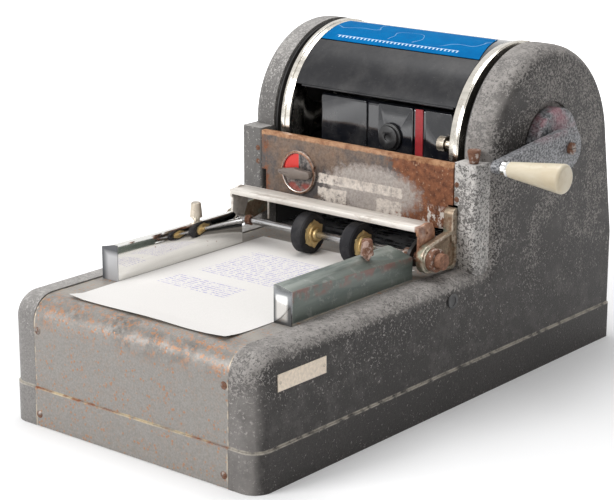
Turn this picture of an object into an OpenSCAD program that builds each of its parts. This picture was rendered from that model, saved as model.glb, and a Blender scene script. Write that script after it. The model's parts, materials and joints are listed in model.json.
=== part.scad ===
// Stencil duplicator: hand-cranked drum machine with a feed table, in millimetres.
// X runs to the right, Y from the front to the back, Z up. The origin is the middle of the base.

/* [Base and table] */
// Length over the skirt, front to back
base_l = 622; // [600:1:660]
// Height of the top of the feed table
table_z = 134.5; // [128:0.5:138]
// Room between a side guide and the cheek beside it
table_margin = 3.65; // [2:0.05:8]
// Height of the proud skirt band round the foot
skirt_h = 41; // [30:1:60]
// How far the skirt stands proud of the body above it
skirt_proud = 1.5; // [1:0.5:3]
// Width of the cast cheek on each side of the table
cheek_w = 35.6; // [33:0.5:38]
// How far the top of the cheeks stands above the table
cheek_step = 1.5; // [1:0.5:3]
// Radius of the bend over the front edge
front_r = 27; // [22:1:34]
// Rounding of the outer edge of the castings, at the front
edge_r = 18; // [12:1:20]
// Rounding of that edge down the back
rear_edge_r = 5; // [4.5:0.5:10]
// Wall of the castings
cast_wall = 4; // [3:0.5:6]
// Thickness of the table sheet
sheet_t = 1.5; // [1:0.25:2]
// Thickness of the base plate
base_t = 2.5; // [2:0.5:4]

/* [Housing and frame] */
// Height of the drum axis
drum_z = 251; // [249:0.5:256]
// Distance of the drum axis from the rear end of the base
drum_back = 142; // [138:1:148]
// Radius of the front quarter of the housing arch
house_r = 107; // [105:0.5:110]
// Radius of the flatter rear quarter of the arch
arch_r = 120.5; // [118:0.5:124]
// Slope of the housing's rear edge from the vertical, in degrees
rear_slope = 9.4; // [8.5:0.1:11]
// Thickness of the inner frame plates
frame_t = 3; // [2:0.5:4]
// Room round the crank disc in its recess
recess_gap = 5.5; // [2:0.5:8]
// Height of the rear panel, up to the lip that the printed sheets leave over
exit_z = 126; // [110:0.5:126]

/* [Posts and control panel] */
// Depth of a post in front of the housing
post_d = 21; // [18:0.5:24]
// Width of a post
post_w = 28.4; // [25:0.1:29]
// Height of the top of the posts
post_top = 249.5; // [240:0.5:256]
// Height of the lower edge of the control panel
panel_low = 176; // [174:0.5:182]
// Depth of the notch at each lower corner of the panel
notch_h = 27.5; // [22:0.5:30]
// Width of that notch
notch_w = 6.2; // [5:0.1:8]
// Distance of the dial from the left end of the panel
dial_edge = 55; // [40:0.5:70]
// Height of the dial centre
dial_z = 207.5; // [205:0.5:212]
// Outer radius of the dial's ring
dial_r = 24.5; // [20:0.5:25]

/* [Drum] */
// Outer radius of the two drum rings
ring_r = 107; // [105:0.5:107]
// Room between a ring and the frame plate, where the feed linkage runs
ring_gap = 6.65; // [6.5:0.05:10]
// Width of a ring's rim
rim_w = 12; // [10:0.5:14]
// How far the ink screen lies below the rims of the rings
screen_step = 2; // [2:0.5:4]
// Distance from the drum axis to the front of the ink tank
tank_reach = 82; // [78:0.5:84]
// Depth of the ink tank
tank_d = 38; // [30:1:44]
// Height of the ink tank above and below the drum axis
tank_up = 38; // [30:1:44]
tank_down = 45; // [30:1:50]
// Distances of the tank's ends from the left and the right ring
tank_left = 39.4; // [30:0.2:60]
tank_right = 21.4; // [14:0.2:30]
// Radius of the drum shaft
shaft_r = 8; // [6:0.5:9]

/* [Crank] */
// Distance between the drum axis and the handle axis
crank_l = 129; // [110:1:135]
// Radius of the crank disc
crank_disc_r = 41.5; // [38:0.5:44]
// Thickness of the crank disc
crank_disc_t = 16; // [10:0.5:18]
// Radius of the grip at its small end
grip_r1 = 8.2; // [7.2:0.2:9]
// Radius of the grip at its outer end
grip_r2 = 15.4; // [12:0.2:17]
// Length of the grip
grip_l = 66.5; // [55:0.5:80]

/* [Paper feed] */
// Distance of the feed shaft in front of the posts
feed_reach = 47; // [44:0.5:50]
// Radius of the rubber feed wheels
wheel_r = 22; // [20:0.5:22]
// Width of a feed wheel
wheel_w = 15; // [12:0.5:18]
// Place of the left and the right feed wheel along the shaft
wheel_x = [-24.5, 42.5];
// Radius of the feed shaft
feed_r = 4; // [3:0.5:5]
// Half the width of the paper
paper_half = 105; // [100:0.5:105]
// Length of the paper
paper_l = 297; // [280:1:300]
// Length of a side guide
guide_l = 193; // [170:1:194]
// Width of a side guide
guide_w = 22; // [20:0.5:22]
// Height of a side guide at its inner face
guide_h = 38; // [34:0.5:38]

/* [Printing nip] */
// Radius of the impression roller
press_r = 22; // [18:0.5:24]
// Gap between roller and screen while the roller is down
press_gap = 4.7; // [4.6:0.1:6]
// Height of the pivot of the roller's arms
pivot_z = 108; // [104:0.5:112]

/* [Hidden] */
$fn = 64;

// Clearances: a running fit, a loose pass, and the gap between pieces that only lie side by side
fit = 0.05;
pass = 0.3;
eps = 0.01;

// The paper sets the width: a side guide stands on each side of it, then the cheeks
paper_gap = 0.4;
guide_in = paper_half + paper_gap;
rim_x = guide_in + guide_w + table_margin;
base_w = 2 * (rim_x + cheek_w);

// Body of the castings above the skirt
body_x = base_w / 2 - skirt_proud;
body_y = base_l / 2 - skirt_proud;
cheek_z = table_z + cheek_step;
foot_fillet = 3;

// Rear edge of the housing: a vertical wall, a gentle bend, a slope and the arch
drum_y = base_l / 2 - drum_back;
arch_z = drum_z + house_r - arch_r;
bend_r = 60;
bend_y = body_y - bend_r;
bend_z = arch_z + ((drum_y - bend_y) * cos(rear_slope) + arch_r - bend_r) / sin(rear_slope);
house_y = drum_y - house_r;

// Frame plates stand against the rims of the castings
frame_x = rim_x - frame_t;
ring_x = frame_x - ring_gap;
frame_inset = 3;

// Tie rods: [y, z, radius]. The rear one also carries the impression arms.
pivot_y = drum_y + 83;
rods = [[house_y + 24, table_z - 22.5, 6], [drum_y, 58, 6], [pivot_y, pivot_z, 5]];
rod_nut_h = 5;
rod_nut_r = 9;

// Plug hole in the right cheek

plug_z = table_z - 17.5;
plug_r = 7;

// Posts and panel
post_in = rim_x + 0.6;
post_y = house_y - post_d;
post_edge = 4;
post_wall = 3.5;
post_sink = 8;
panel_t = 1.5;
panel_half = post_in - 0.2;
panel_top = post_top - 2;
panel_flange = 8;
post_screw_x = post_in + 5;
post_screw_z = [post_top - 23, post_top - 38.5];
notch_top = panel_low + notch_h;
dial_x = panel_half - dial_edge;
// Below this height the right post is cut back to make room for the feed bracket
step_z = notch_top + 1;
step_in = rim_x + 7.15;

// Feed shaft, brackets and linkage. The clutch arm and the lever's short arm are equal and
// parallel, so the link between them only shifts and never turns.
shaft_y = post_y - feed_reach;
plug_y = shaft_y + 2;
paper_t = 0.4;
shaft_z = table_z + paper_t + 0.2 + wheel_r;
bracket_t = 4;
bracket_x = rim_x - 0.6;
bracket_rim = step_in;
thin_bracket_t = 2.6;
boss_r = 15;
boss_x = bracket_rim + 2;
arm_v = [9.5, 14];
lever_y = house_y + 46;
lever_z = shaft_z - 7;
link_x = ring_x + 0.8;
link_t = 2;
lever_x = link_x + link_t + 0.4;
lever_t = 2;
pin_r = 2.5;
cam_r = 26;
cam_off = 14;
follower_r = 7;
follower = [drum_y - cam_r - cam_off - follower_r - 0.6, drum_z];
clutch_x = link_x - 6.5;
clutch_t = 4;

// Guard bar: a channel on two end plates that swing on the feed shaft
guard_right = bracket_x - 0.6;
guard_left = post_in - thin_bracket_t - 0.5;
guard_t = 3;
guard_low = 28.5;
guard_high = 34;
guard_front = 10;
guard_back = 15.5;
guard_sheet = 1.5;

// Nip
screen_r = ring_r - screen_step;
press_z = drum_z - screen_r - press_gap - press_r;
press_arm_x = ring_x + 1.2;
press_arm_t = 3.5;
press_core_r = 6;

// Drum angles, from the rear horizontal and over the top, in degrees
a_screen0 = -140;
a_screen1 = 118;
a_header0 = 89;
a_cover0 = 119.5;
a_cover1 = 153;
drum_skin = 1.5;
skin_half = ring_x - rim_w - 0.3;

// Ink tank, behind the drum's window
tank_y = drum_y - tank_reach;
tank_z0 = drum_z - tank_down;
tank_z1 = drum_z + tank_up;
tank_x0 = tank_left - ring_x;
tank_x1 = ring_x - tank_right;
tank_wall = 1.5;
tank_face = 2;

// Crank: recess floor, disc, arm and handle, from the casting outwards
recess_r = crank_disc_r + recess_gap;
recess_floor = body_x - cast_wall;
disc_x0 = recess_floor + 0.7;
disc_x1 = disc_x0 + crank_disc_t;
arm_t = 10;
arm_x1 = disc_x1 + arm_t + 4.7;
handle_y = drum_y - crank_l;
handle_z = drum_z + 2;
ferrule_r = 8;
ferrule_l = 9;
spindle_r = 3.5;
grip_x0 = arm_x1 + ferrule_l + pass;
hub_r = 22;
tip_r = 6.5;

// Side guides
guide_y1 = shaft_y - 16;
guide_y0 = guide_y1 - guide_l;
guide_t = 1.5;
guide_lift = 0.3;
guide_top0 = guide_h - 4;
guide_top1 = guide_h - 12;
guide_screw_y = guide_y1 - 62;
guide_screw_x = guide_in + guide_w / 2;
guide_nut_r = 6.5;
guide_travel = 3;

// Shapes drawn in the side view and run along X
module along_x(x0, x1) {
  translate([x0, 0, 0]) rotate([90, 0, 90]) linear_extrude(x1 - x0) children();
}

module rod_x(x0, x1, y, z, r) {
  translate([x0, y, z]) rotate([0, 90, 0]) cylinder(h = x1 - x0, r = r);
}

// Revolved profile about an axis along X: the profile's x is the radius, its y the place along X
module spun_x(y, z, turn = 360, start = 0) {
  translate([0, y, z]) rotate([0, 90, 0]) rotate([0, 0, start + 90])
    rotate_extrude(angle = turn, $fn = 180) children();
}

module disc(y, z, r) {
  translate([y, z]) circle(r = r);
}

// Point on the disc at p from which a straight flank runs on to the disc at q, on its right side.
// It lies a hair inside the disc, so that the flank and the round edge cross cleanly.
function flank(p, rp, q, rq) =
  let (d = q - p, a = atan2(d[1], d[0]) - acos((rp - rq) / norm(d))) 0.999 * [cos(a), sin(a)];

// Two discs with the straight flanks that touch both
module belt(p, rp, q, rq) {
  there = flank(p, rp, q, rq);
  back = flank(q, rq, p, rp);
  disc(p[0], p[1], rp);
  disc(q[0], q[1], rq);
  polygon([p + rp * there, q + rq * there, q + rq * back, p + rp * back]);
}

// Three discs, listed anticlockwise, with the straight flanks that touch them
module belt_3(p, rp, q, rq, s, rs) {
  pq = flank(p, rp, q, rq);
  qs = flank(q, rq, s, rs);
  sp = flank(s, rs, p, rp);
  disc(p[0], p[1], rp);
  disc(q[0], q[1], rq);
  disc(s[0], s[1], rs);
  polygon([p + rp * pq, q + rq * pq, q + rq * qs, s + rs * qs, s + rs * sp, p + rp * sp]);
}

// Rectangle with rounded corners, from one corner to the other
module round_rect(p, q, r) {
  translate([p[0] + r, p[1]]) square([q[0] - p[0] - 2 * r, q[1] - p[1]]);
  translate([p[0], p[1] + r]) square([q[0] - p[0], q[1] - p[1] - 2 * r]);
  for (y = [p[0] + r, q[0] - r], z = [p[1] + r, q[1] - r]) disc(y, z, r);
}

module mirrored() {
  mirror([1, 0, 0]) children();
}

// Side outline of a casting as [y, z, normal y, normal z, softness of the edge], from the rear
// foot over the arch to the front foot. The softness grows from 0 to 1 over the rear of the arch.
function arc_points(y, z, r, a0, a1, n, s = 1, soft0 = 1, soft1 = 1) =
  [for (i = [0:n]) let (a = a0 + (a1 - a0) * i / n)
    [y + r * cos(a), z + r * sin(a), s * cos(a), s * sin(a), soft0 + (soft1 - soft0) * i / n]];

outline = concat(
  [[body_y, 0, 1, 0, 0]],
  arc_points(bend_y, bend_z, bend_r, 0, rear_slope, 2, 1, 0, 0),
  arc_points(drum_y, arch_z, arch_r, rear_slope, 90, 22, 1, 0, 1),
  [for (p = arc_points(drum_y, drum_z, house_r, 90, 180, 24)) if (p[1] < drum_z + house_r - eps) p],
  arc_points(house_y - foot_fillet, cheek_z + foot_fillet, foot_fillet, 0, -90, 3, -1),
  arc_points(-body_y + front_r, cheek_z - front_r, front_r, 90, 180, 8),
  [[-body_y, 0, -1, 0, 1]]
);

// A solid with that outline, drawn in by inset, whose outer edge is rounded
module side_form(x0, x1, inset, low, steps) {
  n = len(outline);
  m = steps + 2;
  points = [for (j = [-1:steps]) for (p = outline)
    let (a = 90 * j / steps, r = max(0.3, rear_edge_r + (edge_r - rear_edge_r) * p[4] - inset),
      x = j < 0 ? x0 : x1 - r + r * sin(a), in = inset + (j < 0 ? 0 : r * (1 - cos(a))))
      [x, p[0] - p[2] * in, max(low, p[1] - p[3] * in)]];
  flat = [for (j = [0:m - 2]) for (i = [0:n - 1]) let (k = (i + 1) % n)
    each [[j * n + i, (j + 1) * n + i, (j + 1) * n + k], [j * n + i, (j + 1) * n + k, j * n + k]]];
  far = (m - 1) * n;
  lid0 = [for (i = [1:n - 2]) [0, i, i + 1]];
  lid1 = [for (i = [1:n - 2]) [far, far + i + 1, far + i]];
  polyhedron(points, concat(lid0, flat, lid1));
}

// Plan of the skirt band of one casting
module skirt_plan() {
  x1 = base_w / 2;
  y1 = base_l / 2;
  corners = [[-1, edge_r + skirt_proud], [1, rear_edge_r + skirt_proud]];
  for (c = corners) {
    s = c[0];
    r = c[1];
    translate([rim_x, min(0, s * y1)]) square([x1 - r - rim_x, y1]);
    translate([x1 - r - 1, min(0, s * (y1 - r))]) square([r + 1, y1 - r]);
    intersection() {
      translate([x1 - r, s * (y1 - r)]) circle(r = r, $fn = 96);
      translate([x1 - r, -y1]) square([r, 2 * y1]);
    }
  }
}

module casting_shell() {
  difference() {
    union() {
      side_form(rim_x, body_x, 0, 0, 6);
      linear_extrude(skirt_h) skirt_plan();
    }
    side_form(rim_x - 1, body_x - cast_wall, cast_wall, -1, 4);
  }
}

module left_casting() {
  color([0.47, 0.46, 0.45]) mirrored() casting_shell();
}

module right_casting() {
  color([0.42, 0.41, 0.40]) difference() {
    union() {
      casting_shell();
      rod_x(recess_floor - cast_wall, recess_floor + 1, drum_y, drum_z, recess_r + cast_wall);
    }
    rod_x(recess_floor, body_x + 1, drum_y, drum_z, recess_r);
    rod_x(recess_floor - cast_wall - 1, recess_floor + 1, drum_y, drum_z, shaft_r + 4);
    rod_x(body_x - cast_wall - 1, body_x + 1, plug_y, plug_z, plug_r);
  }
}

module base_plate() {
  half_x = body_x - cast_wall - 1;
  half_y = body_y - cast_wall - 1;
  r = edge_r - cast_wall;
  color([0.24, 0.24, 0.25]) difference() {
    linear_extrude(base_t) round_rect([-half_x, -half_y], [half_x, half_y], r);
    for (x = [-half_x + 30, half_x - 30], y = [-half_y + 40, half_y - 40])
      translate([x, y, -1]) cylinder(h = base_t + 2, r = 5);
  }
}

// Bent sheet of the table: skirt, front, bend and top
module table_profile() {
  y0 = -body_y;
  z1 = table_z - front_r;
  translate([y0 - skirt_proud, base_t * 0.2]) square([sheet_t, skirt_h - base_t * 0.2]);
  translate([y0, skirt_h - sheet_t]) square([sheet_t, z1 - skirt_h + sheet_t]);
  intersection() {
    difference() {
      disc(y0 + front_r, z1, front_r);
      disc(y0 + front_r, z1, front_r - sheet_t);
    }
    translate([y0, z1]) square([front_r, front_r]);
  }
  translate([y0 + front_r, table_z - sheet_t]) square([table_end - y0 - front_r, sheet_t]);
}
table_end = house_y - 6;
table_half = rim_x - pass;

module feed_table() {
  color([0.55, 0.54, 0.52]) difference() {
    along_x(-table_half, table_half) table_profile();
    for (s = [-1, 1]) {
      translate([s * guide_screw_x, guide_screw_y, table_z - sheet_t - 1]) slot_cutter();
      for (z = front_screw_z) translate([s * front_screw_x, -body_y - 4, z])
        rotate([-90, 0, 0]) cylinder(h = 8, r = 2.2);
    }
  }
}
front_screw_x = table_half - 5.25;
front_screw_z = [13, table_z - 33];

// Cross slot in the table in which a guide's clamp screw travels
module slot_cutter() {
  slot_r = 3.2;
  travel = guide_travel + 1.5;
  for (x = [-travel, travel]) translate([x, 0, 0]) cylinder(h = sheet_t + 2, r = slot_r);
  translate([-travel, -slot_r, 0]) cube([2 * travel, 2 * slot_r, sheet_t + 2]);
}

// Angles below the edges of the table, clear of the nuts of the guide screws
module table_rails() {
  rail_w = table_half - guide_screw_x - guide_nut_r - guide_travel - pass;
  rail_h = 10;
  color([0.3, 0.3, 0.3]) for (s = [0, 1]) mirror([s, 0, 0])
    translate([table_half - rail_w, -body_y + front_r + 8, table_z - sheet_t - rail_h]) difference() {
      cube([rail_w, table_end + body_y - front_r - 12, rail_h]);
      translate([-1, -1, -1]) cube([rail_w - 0.8, table_end + body_y, rail_h - 0.8]);
    }
}

module rear_panel() {
  lip_half = frame_x - pass;
  lip_d = 14;
  color([0.4, 0.4, 0.4]) difference() {
    union() {
      translate([-table_half, body_y - sheet_t, base_t]) cube([2 * table_half, sheet_t, exit_z - base_t]);
      translate([-lip_half, body_y - lip_d, exit_z - sheet_t]) cube([2 * lip_half, lip_d, sheet_t]);
    }
    for (x = [-60:20:60]) translate([x, body_y - sheet_t - 1, 45])
      rotate([-90, 0, 0]) linear_extrude(sheet_t + 2) round_rect([-3, -15], [3, 15], 2.9);
  }
}

module front_screws() {
  color([0.45, 0.3, 0.2]) for (s = [-1, 1]) {
    translate([s * front_screw_x, -body_y, front_screw_z[1]]) screw_front(4, 2);
    translate([s * front_screw_x, -body_y - skirt_proud, front_screw_z[0]]) screw_front(4, 2);
  }
}

// Round-headed slotted screw that points backwards, with its seat at the origin. A sphere through
// the head's rim shapes its dome.
module screw_front(head_r, head_h) {
  dome_r = (head_r * head_r + head_h * head_h) / (2 * head_h) + 0.2;
  rotate([90, 0, 0]) difference() {
    union() {
      intersection() {
        cylinder(h = head_h, r = head_r);
        translate([0, 0, head_h - dome_r]) sphere(r = dome_r);
      }
      translate([0, 0, -6]) cylinder(h = 6 + eps, r = 1.9);
    }
    translate([-5, -0.4, head_h - 0.8]) cube([10, 0.8, 2]);
  }
}

// Side outline of a frame plate, drawn in from the housing
module frame_outline(inset) {
  rear = body_y - cast_wall - 2;
  arch = [for (p = outline) if (p[1] > skirt_h && (p[0] > drum_y || p[1] > drum_z - eps))
    [min(rear, p[0] - inset * p[2]), p[1] - inset * p[3]]];
  polygon(concat([[rear, base_t]], arch, [[house_y + inset, base_t]]));
}

module frame_plate(x0) {
  difference() {
    along_x(x0, x0 + frame_t) frame_outline(frame_inset);
    rod_x(x0 - 1, x0 + frame_t + 1, drum_y, drum_z, bush_r + fit);
    for (rod = rods) rod_x(x0 - 1, x0 + frame_t + 1, rod[0], rod[1], rod[2] + fit);
  }
}
bush_r = shaft_r + 5;

module left_frame_plate() {
  color([0.16, 0.16, 0.17]) frame_plate(-rim_x);
}

module right_frame_plate() {
  color([0.16, 0.16, 0.17]) frame_plate(frame_x);
}

// Shouldered stud on the right frame plate, on which the feed lever rocks
module lever_stud() {
  color([0.5, 0.5, 0.52]) union() {
    rod_x(lever_x - 0.3, frame_x, lever_y, lever_z, 4);
    rod_x(lever_x + lever_t + 0.1, frame_x, lever_y, lever_z, 7);
  }
}

module tie_rods() {
  color([0.5, 0.5, 0.52]) for (rod = rods) {
    rod_x(-rim_x - rod_nut_h, rim_x + rod_nut_h, rod[0], rod[1], rod[2]);
    for (x = [-rim_x - rod_nut_h, rim_x]) translate([x, rod[0], rod[1]])
      rotate([0, 90, 0]) cylinder(h = rod_nut_h, r = rod_nut_r, $fn = 6);
  }
}

// Flanged bush of the drum shaft
module bearing() {
  color([0.65, 0.5, 0.25]) difference() {
    union() {
      rod_x(frame_x - 0.8, rim_x + 6, drum_y, drum_z, bush_r);
      rod_x(rim_x, rim_x + 3, drum_y, drum_z, bush_r + 7);
    }
    rod_x(frame_x - 2, rim_x + 7, drum_y, drum_z, shaft_r + fit);
  }
}

module left_bearing() {
  mirrored() bearing();
}

module right_bearing() {
  bearing();
}

// Room that the rounded edges of a casting take where a post stands on it
module casting_room() {
  r = edge_r;
  flat_x = body_x - r;
  low = cheek_z - 2 * r;
  room = 0.03;
  translate([0, 0, low]) linear_extrude(post_top + 1 - low) union() {
    translate([rim_x - 1, house_y - room]) square([flat_x - rim_x + 1, 2 * r]);
    disc(flat_x, house_y + r, r + room);
  }
  translate([0, house_y + r, 0]) rotate([90, 0, 0]) linear_extrude(post_d + 2 * r) union() {
    translate([rim_x - 1, low]) square([flat_x - rim_x + 1, 2 * r + room]);
    disc(flat_x, cheek_z - r, r + room);
  }
  // In the corner the casting's fillet widens as the rounded edge falls away
  difference() {
    translate([rim_x - 1, house_y - foot_fillet, low])
      cube([body_x - rim_x + 2, foot_fillet + 2 * r, cheek_z + foot_fillet - low]);
    spun_x(house_y - foot_fillet, cheek_z + foot_fillet) polygon(concat(
      [[0, rim_x - 2], [foot_fillet - 0.18, rim_x - 2]],
      [for (a = [0:6:90]) [foot_fillet - 0.18 + r * (1 - cos(a)), flat_x + r * sin(a)]],
      [[foot_fillet - 0.18 + r, body_x + 2], [0, body_x + 2]]
    ));
  }
}

// Cast post in front of the housing, open towards it. Its back and its foot follow the rounded
// edge of the casting that it stands on.
module post(low_in, screw_bore) {
  x0 = post_in;
  x1 = post_in + post_w;
  y0 = post_y;
  y1 = house_y + edge_r / 2;
  z0 = cheek_z - post_sink;
  difference() {
    translate([0, 0, z0]) linear_extrude(post_top - z0) union() {
      translate([x0, y0 + post_edge]) square([post_w, y1 - y0 - post_edge]);
      translate([x0 + post_edge, y0]) square([post_w - 2 * post_edge, post_edge + eps]);
      for (x = [x0 + post_edge, x1 - post_edge]) disc(x, y0 + post_edge, post_edge);
    }
    casting_room();
    translate([low_in + post_wall, y0 + post_wall, cheek_z + post_wall])
      cube([x1 - low_in - 2 * post_wall, house_y - y0 - post_wall, post_top - cheek_z - 2 * post_wall - 6]);
    if (low_in > x0) translate([x0 - 1, y0 - 1, z0 - 1]) cube([low_in - x0 + 1, y1 - y0 + 2, step_z - z0 + 1]);
    for (z = post_screw_z) translate([post_screw_x, y0 - 1, z])
      rotate([-90, 0, 0]) cylinder(h = 9, r = 2.1);
    if (screw_bore) translate([screw_x, screw_y, post_top - 14]) cylinder(h = 16, r = 3.05);
  }
}
screw_x = rim_x + 19;
screw_y = post_y + post_d / 2;

module left_post() {
  color([0.5, 0.49, 0.48]) mirrored() post(post_in, false);
}

module right_post() {
  color([0.45, 0.44, 0.43]) post(step_in, true);
}

module post_screws() {
  color([0.45, 0.27, 0.18]) for (s = [0, 1], z = post_screw_z)
    mirror([s, 0, 0]) translate([post_screw_x, post_y, z]) screw_front(3, 1);
}

module control_panel() {
  color([0.58, 0.4, 0.3]) difference() {
    union() {
      translate([-panel_half, post_y + 0.5, panel_low])
        cube([2 * panel_half, panel_t, panel_top - panel_low]);
      translate([-panel_half, post_y + 0.5, panel_top - panel_t])
        cube([2 * panel_half, panel_flange, panel_t]);
      for (s = [0, 1]) mirror([s, 0, 0]) translate([panel_half - panel_t, post_y + 0.5, notch_top + 3])
        cube([panel_t, panel_flange, panel_top - notch_top - 3]);
    }
    for (s = [0, 1]) mirror([s, 0, 0]) translate([panel_half - notch_w, post_y - 1, panel_low - 1])
      cube([notch_w + 1, panel_t + 3, notch_h + 1]);
    translate([-dial_x, post_y - 1, dial_z]) rotate([-90, 0, 0]) cylinder(h = panel_t + 3, r = 4);
  }
}

// Ring and face of the selector dial, on the front of the panel
module dial_bezel() {
  color([0.72, 0.7, 0.68]) translate([-dial_x, post_y + 0.5, dial_z]) rotate([90, 0, 0]) difference() {
    union() {
      cylinder(h = 2.4, r = dial_r);
      translate([0, 0, 2.4 - eps]) rotate_extrude($fn = 96) translate([dial_r - 1.8, 0]) circle(r = 1.7);
    }
    translate([0, 0, -1]) cylinder(h = 6, r = dial_r - 3.5);
  }
}

module dial_face() {
  color([0.85, 0.15, 0.1]) translate([-dial_x, post_y + 0.5, dial_z]) rotate([90, 0, 0]) difference() {
    cylinder(h = 1.2, r = dial_r - 3.5 - 0.1);
    translate([0, 0, -1]) cylinder(h = 4, r = 4.2);
  }
}

module selector_knob() {
  bar_l = 19;
  hub_r = 6.5;
  color([0.6, 0.57, 0.55]) translate([-dial_x, post_y + 0.5, dial_z]) rotate([90, 0, 0]) difference() {
    union() {
      translate([0, 0, -panel_t - 5]) cylinder(h = panel_t + 7, r = 3.9);
      translate([0, 0, -panel_t - 5]) cylinder(h = 4.5, r = 7);
      translate([0, 0, 1.7]) cylinder(h = 4, r = 5);
      translate([0, 0, 5]) linear_extrude(7) union() {
        belt([0, 0], hub_r, [-bar_l, 0.5], 2.5);
        belt([0, 0], hub_r - 0.9, [bar_l, 0.5], 4.3);
      }
    }
    translate([-bar_l, -0.4, 11.2]) cube([bar_l - hub_r, 0.8, 2]);
  }
}

module side_plug() {
  color([0.08, 0.08, 0.09]) difference() {
    union() {
      rod_x(body_x - cast_wall - 2, body_x + eps, plug_y, plug_z, plug_r - 0.1);
      rod_x(body_x, body_x + 1.5, plug_y, plug_z, plug_r + 1);
    }
    rod_x(body_x + 0.7, body_x + 2, plug_y, plug_z, plug_r - 2);
  }
}

// Sheets that lead the paper into the nip and out of it
module sheet_between(p, q, t) {
  a = atan2(q[1] - p[1], q[0] - p[0]);
  half = frame_x - 0.1;
  translate([-half, p[0], p[1]]) rotate([a, 0, 0]) translate([0, 0, -t]) cube([2 * half, norm(q - p), t]);
}
nip_z = drum_z - screen_r - press_gap / 2;
nip_reach = press_r + 6;

module lead_in_plate() {
  color([0.45, 0.45, 0.46]) sheet_between([table_end + 0.4, table_z], [drum_y - nip_reach, nip_z - 3], 1.2);
}

module exit_plate() {
  y1 = body_y - 4;
  color([0.45, 0.45, 0.46]) difference() {
    sheet_between([drum_y + nip_reach, nip_z - 3], [y1, exit_z + 1.4], 1.2);
    for (s = [-1, 1]) translate([0.6 * s * frame_x, y1 + 1, exit_z - 20]) cylinder(h = 60, r = 16);
  }
}

// Bracket that carries the right end of the feed shaft: a web with a raised rim, and an arm that
// goes up through the panel's notch beside the post
module bracket_web(grow) {
  corner = [post_y - 8, notch_top - 32.5];
  foot = [post_y - 8, cheek_z + 10];
  belt_3([shaft_y, shaft_z], boss_r + grow, foot, 8 + grow, corner, 8 + grow);
}

module right_feed_bracket() {
  color([0.62, 0.54, 0.42]) difference() {
    union() {
      difference() {
        along_x(bracket_x, bracket_rim) bracket_web(0);
        along_x(bracket_x + bracket_t, bracket_rim + 1) bracket_web(-3);
      }
      along_x(bracket_x - 4.5, bracket_rim - 0.5)
        belt([post_y - 1, notch_top - 32.5], 7, [post_y - 0.5, notch_top - 8.5], 6.9);
      rod_x(bracket_x + 0.5, boss_x, shaft_y, shaft_z, 12.6);
    }
    rod_x(bracket_x - 1, boss_x + 1, shaft_y, shaft_z, feed_r + fit);
  }
}

// Plate that carries the left end, screwed to the inner face of the left post
module left_feed_bracket() {
  color([0.12, 0.12, 0.12]) mirrored() difference() {
    union() {
      along_x(post_in - thin_bracket_t, post_in) belt([shaft_y, shaft_z], 12, [post_y + 5, shaft_z + 6], 9);
      rod_x(post_in - thin_bracket_t, post_in + 5, shaft_y, shaft_z, 9);
    }
    rod_x(post_in - thin_bracket_t - 1, post_in + 6, shaft_y, shaft_z, feed_r + fit);
  }
}

module paper_sheet() {
  color([0.95, 0.94, 0.92]) translate([-paper_half, shaft_y + 19 - paper_l, table_z])
    cube([2 * paper_half, paper_l, paper_t]);
}

// Drum
module drum_shaft() {
  color([0.6, 0.6, 0.62]) union() {
    rod_x(-rim_x - 7, disc_x1 - 2, drum_y, drum_z, shaft_r);
    rod_x(ring_x + pass, lever_x, drum_y, drum_z, shaft_r + 3);
  }
}

// One end ring: a stepped rim, a web with four windows and a hub
module drum_ring() {
  difference() {
    spun_x(drum_y, drum_z) union() {
      translate([ring_r - 7, ring_x - rim_w]) square([5.5, rim_w]);
      translate([ring_r - 7, ring_x - rim_w / 2]) square([7, rim_w / 2 - 1]);
      translate([ring_r - 7, ring_x - rim_w / 2]) square([6, rim_w / 2]);
      translate([shaft_r + fit, ring_x - 3]) square([ring_r - 7 - shaft_r, 3]);
      translate([shaft_r + fit, ring_x - 11.5]) square([8, 11.5]);
    }
    for (a = [45:90:315]) rotate_about_drum(a) rod_x(ring_x - 5, ring_x + 1, drum_y + 58, drum_z, 24);
  }
}

module rotate_about_drum(a) {
  translate([0, drum_y, drum_z]) rotate([a, 0, 0]) translate([0, -drum_y, -drum_z]) children();
}

module left_ring() {
  color([0.78, 0.77, 0.75]) mirrored() drum_ring();
}

module right_ring() {
  color([0.78, 0.77, 0.75]) drum_ring();
}

// A strip of the drum's skin between two angles
module drum_skin(r, t, x0, x1, a0, a1) {
  spun_x(drum_y, drum_z, a1 - a0, a0) translate([r - t, x0]) square([t, x1 - x0]);
}

module ink_screen() {
  color([0.1, 0.1, 0.11]) drum_skin(screen_r, drum_skin, -skin_half, skin_half, a_screen0, a_screen1);
}

module cover_plate() {
  lip_r = 1.3;
  color([0.12, 0.12, 0.13]) union() {
    drum_skin(screen_r + 0.6, drum_skin, -skin_half, skin_half, a_cover0, a_cover1);
    rotate_about_drum(a_cover1 + 0.6) rod_x(-skin_half + 9, skin_half - 3, drum_y + screen_r - 0.7, drum_z, lip_r);
  }
}

module stencil_header() {
  color([0.0, 0.45, 0.8]) difference() {
    drum_skin(screen_r + 0.8, 0.6, -skin_half + 1, skin_half - 1, a_header0, a_cover0 - 1);
    translate([skin_half - 1, drum_y - 0.52 * screen_r, drum_z]) rotate([0, 0, 13]) cube(screen_r * [1, 1, 1.3]);
  }
}

module ink_tank() {
  color([0.07, 0.07, 0.08]) difference() {
    along_x(tank_x0, tank_x1) round_rect([tank_y, tank_z0], [tank_y + tank_d, tank_z1], 5);
    along_x(tank_x0 + tank_wall, tank_x1 - tank_wall) round_rect([tank_y + tank_wall, tank_z0 + tank_wall],
      [tank_y + tank_d - tank_wall, tank_z1 - tank_wall], 5 - tank_wall);
  }
}

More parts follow.
